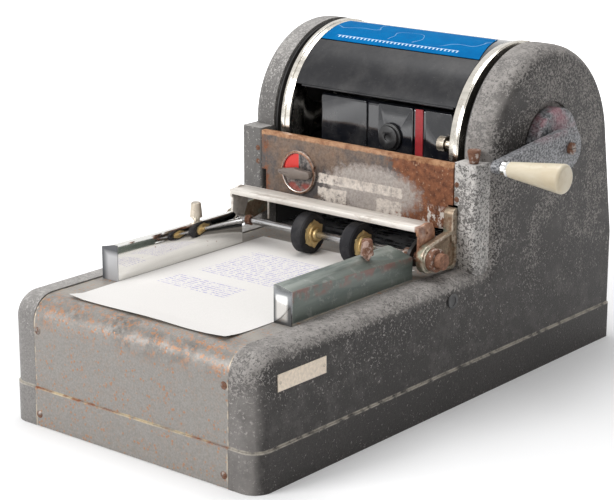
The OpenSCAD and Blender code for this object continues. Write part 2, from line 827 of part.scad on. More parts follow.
// Three pressed panels on the front of the tank: [left edge, right edge]. Each has its share of
// the length that the gaps between them leave.
cover_gap = 15.75;
cover_room = tank_x1 - tank_x0 - 4 - 2 * cover_gap;
cover_1 = tank_x0 + 2 + 0.43 * cover_room;
cover_2 = cover_1 + cover_gap + 0.324 * cover_room;
cover_spans = [[tank_x0 + 2, cover_1], [cover_1 + cover_gap, cover_2], [cover_2 + cover_gap, tank_x1 - 2]];
module tank_covers() {
  color([0.1, 0.1, 0.11]) for (s = cover_spans) translate([0, tank_y - tank_face, 0])
    rotate([-90, 0, 0]) linear_extrude(tank_face) mirror([0, 1]) difference() {
      round_rect([s[0], tank_z0 + 6], [s[1], tank_z1 - 1], 3);
      if (s[0] < knob_x && knob_x < s[1]) disc(knob_x, knob_z, 5);
    }
}
knob_x = cover_1 + cover_gap + 18.25;
knob_z = drum_z + 2.4;

module tank_brackets() {
  color([0.2, 0.2, 0.21]) for (x = [tank_x0 - 2.2, tank_x1 + 0.1]) difference() {
    along_x(x, x + 2) union() {
      belt([drum_y, drum_z], shaft_r + 6, [tank_y + 20, tank_z1 - 14], 10);
      belt([drum_y, drum_z], shaft_r + 6, [tank_y + 20, tank_z0 + 14], 10);
    }
    rod_x(x - 1, x + 3, drum_y, drum_z, shaft_r + fit);
  }
}

module ink_gauge() {
  color([0.6, 0.08, 0.1]) translate([cover_2 + 2.9, tank_y - 1.2, tank_z0 + 6])
    cube([cover_gap - 5.8, 1.2, tank_z1 - tank_z0 - 7]);
}

module ink_knob() {
  color([0.1, 0.1, 0.11]) translate([knob_x, tank_y - tank_face - pass, knob_z]) rotate([90, 0, 0]) difference() {
    union() {
      translate([0, 0, -tank_face - pass]) cylinder(h = tank_face + pass + 1, r = 4.7);
      cylinder(h = 3, r = 15);
      translate([0, 0, 3 - eps]) cylinder(h = 3.5, r = 12.5);
    }
    translate([0, 0, 4.8]) cylinder(h = 3, r = 4);
  }
}

lock_x = ring_x - 32;
lock_y = drum_y - 93;
lock_z = drum_z + 7;
module lock_knob() {
  color([0.66, 0.6, 0.5]) difference() {
    union() {
      rod_x(lock_x, lock_x + 9, lock_y, lock_z, 8);
      rod_x(lock_x + 8, ring_x - 3 - 0.2, lock_y, lock_z, 4.5);
    }
    for (a = [0:15:345]) translate([0, lock_y, lock_z]) rotate([a, 0, 0])
      translate([lock_x - 1, -0.4, 7.4]) cube([8, 0.8, 2]);
  }
}

module feed_cam() {
  color([0.5, 0.5, 0.5]) difference() {
    along_x(lever_x, lever_x + lever_t) disc(drum_y + cam_off, drum_z, cam_r);
    rod_x(lever_x - 1, lever_x + lever_t + 1, drum_y, drum_z, shaft_r + fit);
  }
}

module crank_arm() {
  color([0.55, 0.55, 0.54]) difference() {
    union() {
      spun_x(drum_y, drum_z) polygon([
        [shaft_r - 2, disc_x0], [crank_disc_r - 1, disc_x0], [crank_disc_r, disc_x0 + 1],
        [crank_disc_r, disc_x1 - 2.5], [crank_disc_r - 2.5, disc_x1], [shaft_r - 2, disc_x1]
      ]);
      along_x(arm_x1 - arm_t, arm_x1) belt([drum_y, drum_z], hub_r, [handle_y, handle_z], tip_r);
      rod_x(disc_x1 - 1, arm_x1 - arm_t + 1, drum_y, drum_z, hub_r);
    }
    rod_x(disc_x0 - 1, disc_x1 - 2, drum_y, drum_z, shaft_r + fit);
    rod_x(disc_x0 - 1, arm_x1 + 1, drum_y, drum_z, 3.5);
    rod_x(arm_x1 - arm_t - 1, arm_x1 + 1, handle_y, handle_z, spindle_r + fit);
  }
}

module crank_screw() {
  color([0.4, 0.25, 0.17]) difference() {
    union() {
      rod_x(disc_x1 - 1.9, arm_x1 + 1, drum_y, drum_z, 3.4);
      rod_x(arm_x1, arm_x1 + 3.5, drum_y, drum_z, 6.5);
    }
    translate([arm_x1 + 2.2, drum_y - 8, drum_z - 0.6]) cube([3, 16, 1.2]);
  }
}

module handle_spindle() {
  color([0.82, 0.82, 0.82]) union() {
    rod_x(arm_x1 - arm_t, grip_x0 + grip_l - 6, handle_y, handle_z, spindle_r);
    spun_x(handle_y, handle_z) polygon([
      [1, arm_x1], [ferrule_r - 2, arm_x1], [ferrule_r, arm_x1 + 2.5], [ferrule_r, arm_x1 + ferrule_l - 2],
      [ferrule_r - 1.5, arm_x1 + ferrule_l], [1, arm_x1 + ferrule_l]
    ]);
  }
}

// Turned grip: a straight taper with a soft shoulder and a domed end
module handle_grip() {
  x0 = grip_x0;
  x1 = grip_x0 + grip_l;
  soft = 4;
  color([0.9, 0.86, 0.7]) difference() {
    spun_x(handle_y, handle_z) difference() {
      union() {
        polygon([
          [0, x0], [grip_r1 - 1, x0], [grip_r1, x0 + 1], [grip_r2, x1 - soft], [grip_r2 - soft, x1 - soft],
          [grip_r2 - soft, x1], [0, x1]
        ]);
        translate([grip_r2 - soft, x1 - soft]) intersection() {
          circle(r = soft);
          square(soft);
        }
      }
      translate([-2, x0 - 1]) square([2, grip_l + 2]);
    }
    rod_x(x0 - 1, x1 - 5, handle_y, handle_z, spindle_r + fit);
  }
}

// Feed shaft and what turns with it
module feed_shaft() {
  color([0.75, 0.75, 0.76]) union() {
    rod_x(-post_in - 11, boss_x + 12, shaft_y, shaft_z, feed_r);
    rod_x(boss_x + nut_t + 0.2, boss_x + nut_t + 8, shaft_y, shaft_z, 8.5);
  }
}

module feed_wheels() {
  color([0.12, 0.12, 0.13]) for (x = wheel_x) spun_x(shaft_y, shaft_z) difference() {
    union() {
      translate([wheel_r - 8, x - wheel_w / 2]) square([7, wheel_w]);
      translate([wheel_r - 8, x - wheel_w / 2 + 1]) square([8, wheel_w - 2]);
    }
  }
}

// Brass hubs: a turned core with a boss and a raised ring on each side, and a six-pointed plate
// with drawn-in sides against each face of the tyre
module wheel_hubs() {
  plate_t = 1.6;
  h = wheel_w / 2;
  face = h + plate_t;
  side = [
    [wheel_r - 8.02, h], [wheel_r - 12, h], [wheel_r - 12, face + 2], [wheel_r - 13.5, face + 2],
    [wheel_r - 13.5, face + 0.4], [6.5, face + 0.4], [6.5, face + 5], [2, face + 5]
  ];
  last = len(side) - 1;
  star = [for (k = [0:11]) let (r = k % 2 == 0 ? wheel_r - 6 : wheel_r - 9.6, a = 90 + 30 * k)
    [shaft_y + r * cos(a), shaft_z + r * sin(a)]];
  color([0.75, 0.6, 0.3]) for (x = wheel_x) difference() {
    union() {
      spun_x(shaft_y, shaft_z) polygon(concat(
        [for (p = side) [p[0], x + p[1]]], [for (i = [last:-1:0]) [side[i][0], x - side[i][1]]]
      ));
      for (x0 = [x - face, x + h]) along_x(x0, x0 + plate_t) polygon(star);
    }
    rod_x(x - wheel_w, x + wheel_w, shaft_y, shaft_z, feed_r + 0.02);
  }
}

module shaft_collars() {
  spans = [
    [3.7 - clutch_x, 10.7 - clutch_x, 5.5],
    [clutch_x - 8.5, clutch_x - 1, 7.5],
    [clutch_x + clutch_t + 0.5, guard_right - guard_t - 0.5, 6]
  ];
  color([0.45, 0.3, 0.22]) for (span = spans) difference() {
    rod_x(span[0], span[1], shaft_y, shaft_z, span[2]);
    rod_x(span[0] - 1, span[1] + 1, shaft_y, shaft_z, feed_r + 0.02);
  }
}

nut_t = 8;
module shaft_nut() {
  color([0.5, 0.33, 0.27]) difference() {
    rod_x(boss_x + pass, boss_x + nut_t, shaft_y, shaft_z, 12.2);
    rod_x(boss_x, boss_x + nut_t + 1, shaft_y, shaft_z, feed_r + 0.02);
  }
}

// One end plate of the guard: an eye on the shaft and a round lug that closes the channel's end
module guard_end(x0) {
  lug = [shaft_y + 5.5, shaft_z + guard_high - 11.5];
  difference() {
    along_x(x0, x0 + guard_t) union() {
      belt([shaft_y, shaft_z], 9, lug, 13.5);
      translate([shaft_y - guard_front, shaft_z + guard_low - 4])
        square([guard_front + guard_back, guard_high - guard_low + 4 - eps]);
    }
    rod_x(x0 - 1, x0 + guard_t + 1, shaft_y, shaft_z, feed_r + 0.1);
    rod_x(x0 - 1, x0 + guard_t + 1, lug[0], lug[1] + 3, 1.6);
  }
}

module guard_bar() {
  y0 = shaft_y - guard_front;
  y1 = shaft_y + guard_back;
  color([0.8, 0.79, 0.78]) union() {
    translate([-guard_left, y0, shaft_z + guard_high - guard_sheet])
      cube([guard_left + guard_right, y1 - y0, guard_sheet]);
    translate([-guard_left, y0, shaft_z + guard_low])
      cube([guard_left + guard_right, guard_sheet, guard_high - guard_low]);
    guard_end(-guard_left);
    guard_end(guard_right - guard_t);
    translate([-0.69 * guard_left, y1 - 6.5, shaft_z + 3]) cylinder(h = guard_high - 3 - eps, r = 1.1, $fn = 24);
  }
}

// Linkage that rocks the feed shaft's one-way clutch
module clutch_arm() {
  p = [shaft_y, shaft_z];
  color([0.4, 0.38, 0.36]) difference() {
    union() {
      along_x(clutch_x, clutch_x + clutch_t) belt(p, 11, p + arm_v, 5);
      rod_x(clutch_x, link_x + link_t + 0.3, p[0] + arm_v[0], p[1] + arm_v[1], pin_r);
    }
    rod_x(clutch_x - 1, clutch_x + clutch_t + 1, shaft_y, shaft_z, feed_r + fit);
  }
}

module feed_link() {
  p = [shaft_y, shaft_z] + arm_v;
  q = [lever_y, lever_z] + arm_v;
  color([0.42, 0.4, 0.38]) difference() {
    along_x(link_x, link_x + link_t) union() {
      for (eye = [p, q]) disc(eye[0], eye[1], 4.8);
      translate(p) rotate(atan2(q[1] - p[1], q[0] - p[0])) translate([0, -3]) square([norm(q - p), 6]);
    }
    rod_x(link_x - 1, link_x + link_t + 1, p[0], p[1], pin_r + 0.1);
    rod_x(link_x - 1, link_x + link_t + 1, q[0], q[1], pin_r + fit);
  }
}

module feed_lever() {
  p = [lever_y, lever_z];
  color([0.4, 0.38, 0.36]) difference() {
    union() {
      along_x(lever_x, lever_x + lever_t) union() {
        belt(p, 9, follower, 6);
        belt(p, 9, p + arm_v, 5);
      }
      rod_x(link_x - 0.2, lever_x + eps, p[0] + arm_v[0], p[1] + arm_v[1], pin_r);
      rod_x(lever_x - 0.2, lever_x + lever_t, follower[0], follower[1], follower_r);
    }
    rod_x(lever_x - 1, lever_x + lever_t + 1, p[0], p[1], 4 + fit);
  }
}

// Impression roller below the drum
module impression_arms() {
  axle = [drum_y, press_z];
  pivot = [rods[2][0], rods[2][1]];
  color([0.35, 0.35, 0.36]) for (s = [0, 1]) mirror([s, 0, 0]) difference() {
    along_x(press_arm_x, press_arm_x + press_arm_t) belt(axle, 10, pivot, 11);
    rod_x(press_arm_x - 1, press_arm_x + press_arm_t + 1, axle[0], axle[1], press_core_r + fit);
    rod_x(press_arm_x - 1, press_arm_x + press_arm_t + 1, pivot[0], pivot[1], rods[2][2] + fit);
  }
}

module impression_roller() {
  half = skin_half - 2;
  color([0.15, 0.15, 0.16]) difference() {
    rod_x(-half, half, drum_y, press_z, press_r);
    rod_x(-half - 1, half + 1, drum_y, press_z, press_core_r + 3);
  }
}

module roller_core() {
  half = skin_half - 2;
  color([0.6, 0.6, 0.6]) union() {
    rod_x(-press_arm_x - press_arm_t - 1, press_arm_x + press_arm_t + 1, drum_y, press_z, press_core_r);
    rod_x(-half, half, drum_y, press_z, press_core_r + 3 - 0.02);
  }
}

// Side guide as a bent box without a floor; its top slopes down to the outside and the back
module guide_form(grow) {
  z0 = table_z + guide_lift;
  x0 = guide_in + grow;
  x1 = guide_in + guide_w - grow;
  y0 = guide_y0 + grow;
  y1 = guide_y1 - grow;
  low = grow > 0 ? z0 - 5 : z0;
  h = z0 + guide_h - grow;
  f0 = z0 + guide_top0 - grow;
  f1 = z0 + guide_top1 - grow;
  points = [
    [x0, y0, low], [x1, y0, low], [x1, y1, low], [x0, y1, low],
    [x0, y0, h], [x0 + 5, y0, h], [x1, y0, f0], [x1, y1, f1], [x0 + 5, y1 - 14, h], [x0, y1 - 14, h],
    [x0, y1, f1]
  ];
  hull() for (p = points) translate(p) cube(eps);
}

module guide() {
  difference() {
    guide_form(0);
    guide_form(guide_t);
    translate([guide_screw_x, guide_screw_y, table_z + 10]) cylinder(h = guide_h, r = 2.6);
  }
}

module left_guide() {
  color([0.8, 0.79, 0.77]) mirrored() guide();
}

module right_guide() {
  color([0.42, 0.46, 0.44]) guide();
}

// Clamp screw of a guide: a ribbed cone, a neck, and a nut below the table
module guide_screw() {
  top = table_z + guide_h - 1.2;
  color([0.6, 0.55, 0.5]) translate([guide_screw_x, guide_screw_y, 0]) difference() {
    union() {
      translate([0, 0, table_z - sheet_t - 4.5]) cylinder(h = top - table_z + sheet_t + 6, r = 2.5);
      translate([0, 0, table_z - sheet_t - 4]) cylinder(h = 3.7, r = guide_nut_r);
      translate([0, 0, top + 1]) cylinder(h = 3, r = 4);
      translate([0, 0, top + 4 - eps]) cylinder(h = 15, r1 = 6.8, r2 = 5.4);
      translate([0, 0, top + 19 - 2 * eps]) cylinder(h = 1.2, r1 = 5.4, r2 = 4.4);
    }
    for (a = [0:30:330]) rotate(a) translate([6.6, -0.5, top + 6]) cube([2, 1, 14]);
  }
}

module left_guide_screw() {
  mirrored() guide_screw();
}

module right_guide_screw() {
  guide_screw();
}

module pressure_screw() {
  color([0.55, 0.32, 0.22]) translate([screw_x, screw_y, post_top]) difference() {
    union() {
      translate([0, 0, -13]) cylinder(h = 14, r = 3);
      translate([0, 0, 0.3]) cylinder(h = 12, r1 = 4.8, r2 = 7.2);
      translate([0, 0, 12.3 - eps]) cylinder(h = 2, r1 = 7.2, r2 = 6.6);
    }
    for (a = [0:30:330]) rotate(a) translate([6.9, -0.5, 5]) cube([2, 1, 12]);
  }
}

base_plate();
left_casting();
right_casting();
feed_table();
table_rails();
rear_panel();
front_screws();
left_frame_plate();
right_frame_plate();
tie_rods();
left_bearing();
right_bearing();
lever_stud();
left_post();
right_post();
post_screws();
control_panel();
dial_bezel();
dial_face();
side_plug();
lead_in_plate();
exit_plate();
left_feed_bracket();
right_feed_bracket();
paper_sheet();
drum_shaft();
left_ring();
right_ring();
ink_screen();
cover_plate();
stencil_header();
ink_tank();
tank_covers();
tank_brackets();
ink_gauge();
feed_cam();
crank_arm();
crank_screw();
handle_spindle();
handle_grip();
ink_knob();
lock_knob();
feed_shaft();
feed_wheels();
wheel_hubs();
shaft_collars();
shaft_nut();
guard_bar();
clutch_arm();
feed_link();
feed_lever();
impression_arms();
impression_roller();
roller_core();
left_guide();
right_guide();
left_guide_screw();
right_guide_screw();
selector_knob();
pressure_screw();
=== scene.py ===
# %% [markdown]
# # A hand-cranked stencil duplicator
# The imported CAD model gives every solid its true place and size. This script dresses it: it smooths
# and softens the edges of the solids, adds the small pieces that only the eye needs, paints
# everything with procedural finishes, and sets up the camera and the light of a catalogue picture.
# The first cell loads the model and hangs each solid on its body.

# %% Load the imported model
import json
import math

import bpy
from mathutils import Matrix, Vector

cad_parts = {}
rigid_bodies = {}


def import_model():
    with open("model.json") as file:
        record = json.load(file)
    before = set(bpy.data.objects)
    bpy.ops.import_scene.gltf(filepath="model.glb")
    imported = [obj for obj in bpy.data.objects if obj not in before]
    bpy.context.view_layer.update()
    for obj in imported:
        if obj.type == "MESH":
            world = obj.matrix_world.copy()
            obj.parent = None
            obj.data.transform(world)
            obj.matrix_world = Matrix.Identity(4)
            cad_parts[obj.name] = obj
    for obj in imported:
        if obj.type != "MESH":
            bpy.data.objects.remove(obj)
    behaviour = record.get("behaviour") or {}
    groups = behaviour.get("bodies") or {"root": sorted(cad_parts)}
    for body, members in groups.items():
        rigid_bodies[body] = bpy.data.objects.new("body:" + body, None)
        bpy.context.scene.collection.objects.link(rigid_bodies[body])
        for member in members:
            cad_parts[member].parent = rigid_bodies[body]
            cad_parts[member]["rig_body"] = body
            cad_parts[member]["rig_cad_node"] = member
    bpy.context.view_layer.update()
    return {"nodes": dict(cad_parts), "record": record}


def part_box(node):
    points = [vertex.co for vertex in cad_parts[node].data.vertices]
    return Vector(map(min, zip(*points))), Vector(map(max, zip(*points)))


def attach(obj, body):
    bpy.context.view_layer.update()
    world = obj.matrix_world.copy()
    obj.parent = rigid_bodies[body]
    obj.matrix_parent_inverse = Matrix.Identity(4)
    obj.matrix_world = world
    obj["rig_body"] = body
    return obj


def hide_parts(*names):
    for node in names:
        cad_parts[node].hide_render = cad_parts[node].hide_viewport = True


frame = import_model()
nodes = frame["nodes"]


body_of = {node: body for body, members in frame["record"]["behaviour"]["bodies"].items()
           for node in members}
slot_of = {row["node"]: row["material_slot"] for row in frame["record"]["subparts"]}

# %% [markdown]
# ## Measures
# Most measures repeat the ones of the solids. They are read from the nodes' boxes where that is
# easy, because then the details follow when the machine's size changes. The drum's axis is the
# middle of a turned part. The few measures that no box gives are typed, here and in later cells.

# %% Places that the details hang on
TABLE_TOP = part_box("feed_table")[1].z
SKIRT_PROUD = 0.0015  # how far the skirt at the foot stands out of the side above it
SIDE_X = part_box("right_casting")[1].x - SKIRT_PROUD
SKIRT_TOP = 0.041


def centre(node):
    low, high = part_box(node)
    return (low + high) / 2


DRUM_Y, DRUM_Z = centre("left_ring").y, centre("left_ring").z
RING_R = (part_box("left_ring")[1].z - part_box("left_ring")[0].z) / 2
DIAL = centre("dial_bezel")
print("drum axis", round(DRUM_Y, 4), round(DRUM_Z, 4), "ring radius", round(RING_R, 4))

# %% [markdown]
# ## Helpers for node materials
# A finish is a small tree of shader nodes. Four short helpers cover nearly all of them: a noise
# value, a ramp from one range of values to another, a mix of two colours and a piece of arithmetic.
# All patterns read Object coordinates, which are metres here, so a scale of 1000 means features of
# about a millimetre.


# %% Shader helpers
class Finish:
    """One material under construction, with short ways to add nodes to it."""

    def __init__(self, name):
        self.material = bpy.data.materials.new(name)
        self.material.use_nodes = True
        self.tree = self.material.node_tree
        self.shader = self.tree.nodes["Principled BSDF"]
        self.place = self.tree.nodes.new("ShaderNodeTexCoord").outputs["Object"]
        self.axes = None

    def link(self, source, target):
        if hasattr(source, "is_output"):
            self.tree.links.new(source, target)
        else:
            target.default_value = source

    def axis(self, letter):
        """The X, Y or Z coordinate in metres."""
        if self.axes is None:
            self.axes = self.tree.nodes.new("ShaderNodeSeparateXYZ")
            self.link(self.place, self.axes.inputs[0])
        return self.axes.outputs[letter]

    def facing_up(self):
        """The height of the surface's normal: 1 on a level top, 0 on a wall."""
        normal = self.tree.nodes.new("ShaderNodeNewGeometry").outputs["Normal"]
        parts = self.tree.nodes.new("ShaderNodeSeparateXYZ")
        self.link(normal, parts.inputs[0])
        return parts.outputs["Z"]

    def noise(self, scale, detail=4.0, rough=0.6, stretch=None, distort=0.0):
        node = self.tree.nodes.new("ShaderNodeTexNoise")
        node.inputs["Scale"].default_value = scale
        node.inputs["Detail"].default_value = detail
        node.inputs["Roughness"].default_value = rough
        node.inputs["Distortion"].default_value = distort
        source = self.place
        if stretch:
            mapping = self.tree.nodes.new("ShaderNodeMapping")
            mapping.inputs["Scale"].default_value = stretch
            self.link(self.place, mapping.inputs["Vector"])
            source = mapping.outputs["Vector"]
        self.link(source, node.inputs["Vector"])
        return node.outputs["Fac"]

    def cells(self, scale):
        """Distance to the nearest of many scattered points, for round specks."""
        node = self.tree.nodes.new("ShaderNodeTexVoronoi")
        node.inputs["Scale"].default_value = scale
        self.link(self.place, node.inputs["Vector"])
        return node.outputs["Distance"]

    def ramp(self, value, low, high, start=0.0, end=1.0):
        """value from low to high, turned into start to end and held there."""
        node = self.tree.nodes.new("ShaderNodeMapRange")
        self.link(value, node.inputs["Value"])
        node.inputs["From Min"].default_value = low
        node.inputs["From Max"].default_value = high
        node.inputs["To Min"].default_value = start
        node.inputs["To Max"].default_value = end
        return node.outputs["Result"]

    def sum(self, operation, first, second=0.0):
        node = self.tree.nodes.new("ShaderNodeMath")
        node.operation = operation
        self.link(first, node.inputs[0])
        self.link(second, node.inputs[1])
        return node.outputs[0]

    def times(self, *values):
        result = values[0]
        for value in values[1:]:
            result = self.sum("MULTIPLY", result, value)
        return result

    def band(self, value, middle, half, soft):
        """1 where value is within half of middle, fading to 0 over soft."""
        away = self.sum("ABSOLUTE", self.sum("SUBTRACT", value, middle))
        return self.ramp(away, half, half + soft, 1.0, 0.0)

    def mix(self, share, first, second):
        node = self.tree.nodes.new("ShaderNodeMix")
        node.data_type = "RGBA"
        self.link(share, node.inputs["Factor"])
        for value, socket in ((first, node.inputs[6]), (second, node.inputs[7])):
            self.link(value if hasattr(value, "is_output") else (*value, 1.0), socket)
        return node.outputs[2]

    def shade(self, value, dark, light):
        """A colour between dark and light."""
        return self.mix(value, dark, light)

    def bump(self, height, depth, strength=1.0):
        node = self.tree.nodes.new("ShaderNodeBump")
        node.inputs["Strength"].default_value = strength
        node.inputs["Distance"].default_value = depth
        self.link(height, node.inputs["Height"])
        self.link(node.outputs["Normal"], self.shader.inputs["Normal"])

    def done(self, color, rough, metal=0.0, coat=0.0):
        self.link(color if hasattr(color, "is_output") else (*color, 1.0),
                  self.shader.inputs["Base Color"])
        self.link(rough, self.shader.inputs["Roughness"])
        self.link(metal, self.shader.inputs["Metallic"])
        self.shader.inputs["Coat Weight"].default_value = coat
        return self.material


RUST_DARK = (0.085, 0.03, 0.014)
RUST = (0.26, 0.085, 0.028)
RUST_PALE = (0.42, 0.19, 0.08)
DUST = (0.50, 0.48, 0.46)

# %% [markdown]
# ## Hammered paint on the castings
# The castings wear a dark grey hammer finish, a paint that dries in tiny pebbles. Decades in a damp
# store have left a chalky bloom on it. On the real sides it shows as short curly flecks, dense in
# clouds and thin near the foot, and it lies almost closed on the rounded edges. The light flecks are
# partly that bloom and partly painted highlights, where the pebbles catch the grazing light. A noise
# that is bent by distortion gives curly flecks when only its highest values are kept; a much larger
# noise moves that limit up and down, so the flecks gather in clouds. The castings, the posts and the
# rear panel share the function, each with its own grey and its own amount of light flecks.


# %% Hammered paint
FLAT_SIDE, ROUNDED_EDGE = 0.1652, 0.1590  # distances in X at which the edge's bloom is none and full
ABOVE_TABLE = (0.137, 0.150)  # heights between which the tone of the upper part sets in


def hammered_paint(name, base, bloom_and_glint, edge_bloom, rust=0.0, chalk_and_glint_color=DUST, high=1.0):
    """Grey hammer finish. The second argument is the share of light flecks on the sides, partly chalk
    and partly painted highlights where the pebbles catch the light. edge_bloom is the chalk on the
    rounded outer edge, rust the share of brown spots, and high the tone above the table."""
    f = Finish(name)
    pebbles = f.noise(520, 2.0, 0.5)
    clouds = f.noise(15, 4.0, 0.65)
    flecks = f.noise(400, 3.0, 0.62, None, 0.8)
    paint = f.shade(f.ramp(pebbles, 0.3, 0.7), [c * 0.70 for c in base], [c * 1.30 for c in base])
    grime = f.ramp(f.noise(5, 4.0), 0.42, 0.62, 0.0, 0.45)
    paint = f.mix(grime, paint, [c * 0.5 for c in base])
    above = f.ramp(f.axis("Z"), *ABOVE_TABLE)
    paint = f.mix(above, paint, [c * high for c in base])

    mottle = f.noise(46, 6.0, 0.7)
    rounding = f.sum("ADD", f.sum("ABSOLUTE", f.axis("X")), f.ramp(mottle, 0.3, 0.7, -0.003, 0.003))
    rounding = f.ramp(rounding, FLAT_SIDE, ROUNDED_EDGE)
    top = f.ramp(f.facing_up(), 0.3, 0.9)
    veil = f.sum("ADD", f.times(rounding, edge_bloom), f.times(top, 0.95))
    veil = f.times(f.sum("MINIMUM", veil, 1.0), f.ramp(mottle, 0.30, 0.66, 0.45, 1.0))
    paint = f.mix(veil, paint, [c * 0.62 for c in chalk_and_glint_color])

    share = f.times(f.ramp(clouds, 0.33, 0.53), f.ramp(f.axis("Z"), 0.055, 0.15, 0.12, 1.0), bloom_and_glint)
    paint = f.mix(f.times(share, 0.7), paint, [c * 0.42 for c in base])
    crest = f.ramp(f.axis("Z"), 0.060, 0.125, 0.30, 0.85)
    share = f.sum("ADD", share, f.times(veil, crest))
    limit = f.sum("SUBTRACT", 0.665, f.times(share, 0.19))
    # The light flecks are partly chalky bloom and partly painted highlights, where the pebbles catch the
    # grazing light.
    chalk = f.ramp(f.sum("SUBTRACT", flecks, limit), -0.012, 0.050)
    tone = f.shade(f.ramp(f.noise(120, 3.0), 0.3, 0.7), [c * 0.62 for c in chalk_and_glint_color], chalk_and_glint_color)
    paint = f.mix(f.times(chalk, 0.85), paint, tone)
    if rust:
        spots = f.ramp(f.noise(120, 5.0, 0.7), 0.70 - rust * 0.1, 0.76 - rust * 0.1)
        paint = f.mix(spots, paint, RUST)
    # A light line, broken by a noise, is painted along the shoulder of the skirt: a painted highlight where
    # the step catches the light.
    skirt_shoulder_highlight = f.band(f.axis("Z"), SKIRT_TOP + 0.0004, 0.0009, 0.0011)
    line = f.times(skirt_shoulder_highlight, f.ramp(f.noise(90, 4.0), 0.36, 0.56))
    paint = f.mix(f.times(line, 0.9), paint, (0.46, 0.42, 0.36))
    f.shader.inputs["Specular IOR Level"].default_value = 0.3
    f.bump(f.sum("ADD", pebbles, f.times(flecks, 1.4)), 0.0005, 0.6)
    return f.done(paint, f.ramp(chalk, 0.0, 1.0, 0.50, 0.9))


SIDE_GREY, PLAIN_GREY = (0.040, 0.036, 0.034), (0.190, 0.180, 0.172)
paints = {
    "hammered_side": hammered_paint("hammered_side", SIDE_GREY, bloom_and_glint=0.9, edge_bloom=0.85,
                                    chalk_and_glint_color=(0.40, 0.375, 0.355)),
    "hammered_left": hammered_paint("hammered_left", PLAIN_GREY, bloom_and_glint=0.3, edge_bloom=0.25, high=0.47),
    "hammered_post": hammered_paint("hammered_post", (0.17, 0.16, 0.152), bloom_and_glint=1.0, edge_bloom=0.3,
                                    rust=0.15, chalk_and_glint_color=(0.74, 0.71, 0.68)),
    "hammered_back": hammered_paint("hammered_back", (0.10, 0.094, 0.09), bloom_and_glint=0.35, edge_bloom=0.0,
                                    rust=0.25),
}
print("hammered paints", sorted(paints))

# %% [markdown]
# ## The sheet of the feed table
# One sheet of steel makes the front, the bend and the top. Its paint is flatter than on the
# castings, pricked all over with small rust spots. On the bend years of hands and paper have
# worn it to a mottle of bare metal and rust. The bend is picked out by height and depth.


# %% Table paint
BEND_Z, BEND_Y = (0.100, 0.122), (-0.268, -0.290)  # where the wear on the bend begins and is full
SEAM_X = 0.1300  # the joints between the front sheet and the castings


def table_paint():
    f = Finish("table_paint")
    grain = f.noise(500, 3.0, 0.6)
    base = f.shade(f.ramp(grain, 0.3, 0.7), (0.200, 0.188, 0.172), (0.285, 0.268, 0.248))
    on_bend = f.times(f.ramp(f.axis("Z"), *BEND_Z), f.ramp(f.axis("Y"), *BEND_Y))
    mottle = f.noise(60, 6.0, 0.72)
    worn = f.shade(f.ramp(mottle, 0.42, 0.62), (0.095, 0.088, 0.078), (0.29, 0.27, 0.25))
    base = f.mix(f.times(on_bend, f.ramp(f.noise(30, 4.0), 0.42, 0.56)), base, worn)
    spots = f.ramp(f.cells(210), 0.36, 0.22)
    patches = f.ramp(f.noise(48, 5.0, 0.75), 0.46, 0.54)
    spots = f.times(spots, patches)
    base = f.mix(f.times(spots, 0.8), base, (0.36, 0.165, 0.075))
    tan = f.times(f.ramp(f.noise(150, 6.0, 0.75), 0.52, 0.60), f.ramp(on_bend, 0.0, 1.0, 0.08, 0.75))
    base = f.mix(tan, base, RUST_PALE)
    flat = f.ramp(f.axis("Z"), 0.1335, 0.1342)
    sheen = f.noise(45, 3.0, 0.5, (0.25, 1.0, 1.0))
    base = f.mix(f.times(flat, f.ramp(sheen, 0.45, 0.62), 0.5), base, (0.34, 0.31, 0.27))
    seam = f.times(f.band(f.axis("Z"), SKIRT_TOP, 0.0005, 0.0012), f.ramp(f.noise(70, 4.0), 0.36, 0.55))
    base = f.mix(seam, base, f.shade(f.ramp(f.noise(40, 2.0), 0.5, 0.62), (0.56, 0.46, 0.30), RUST))
    joint = f.times(f.band(f.sum("ABSOLUTE", f.axis("X")), SEAM_X, 0.0005, 0.0008),
                    f.ramp(f.noise(120, 4.0), 0.46, 0.58))
    base = f.mix(f.times(joint, 0.8), base, (0.50, 0.42, 0.32))
    f.bump(f.sum("ADD", grain, f.times(spots, 1.5)), 0.00025, 0.5)
    return f.done(base, f.ramp(on_bend, 0.0, 1.0, 0.50, 0.36), f.ramp(on_bend, 0.0, 1.0, 0.0, 0.35))


paints["table_paint"] = table_paint()

# %% [markdown]
# ## Bare metals
# Chrome, steel and brass differ in colour and in how sharp they mirror. What makes them look old
# is uneven: a streaky roughness along the way they were polished, dark tarnish and pin-pricks of
# rust. One function makes most of them, with a stretch that draws the streaks out along one axis.
# The shaft, the guard bar and the left guide look different at one end, so each of them has a
# function of its own, in which a limit along an axis tells that end from the rest. On the left
# guide that end carries a painted reflection.


# %% Metals
TARNISH = (0.10, 0.085, 0.07)


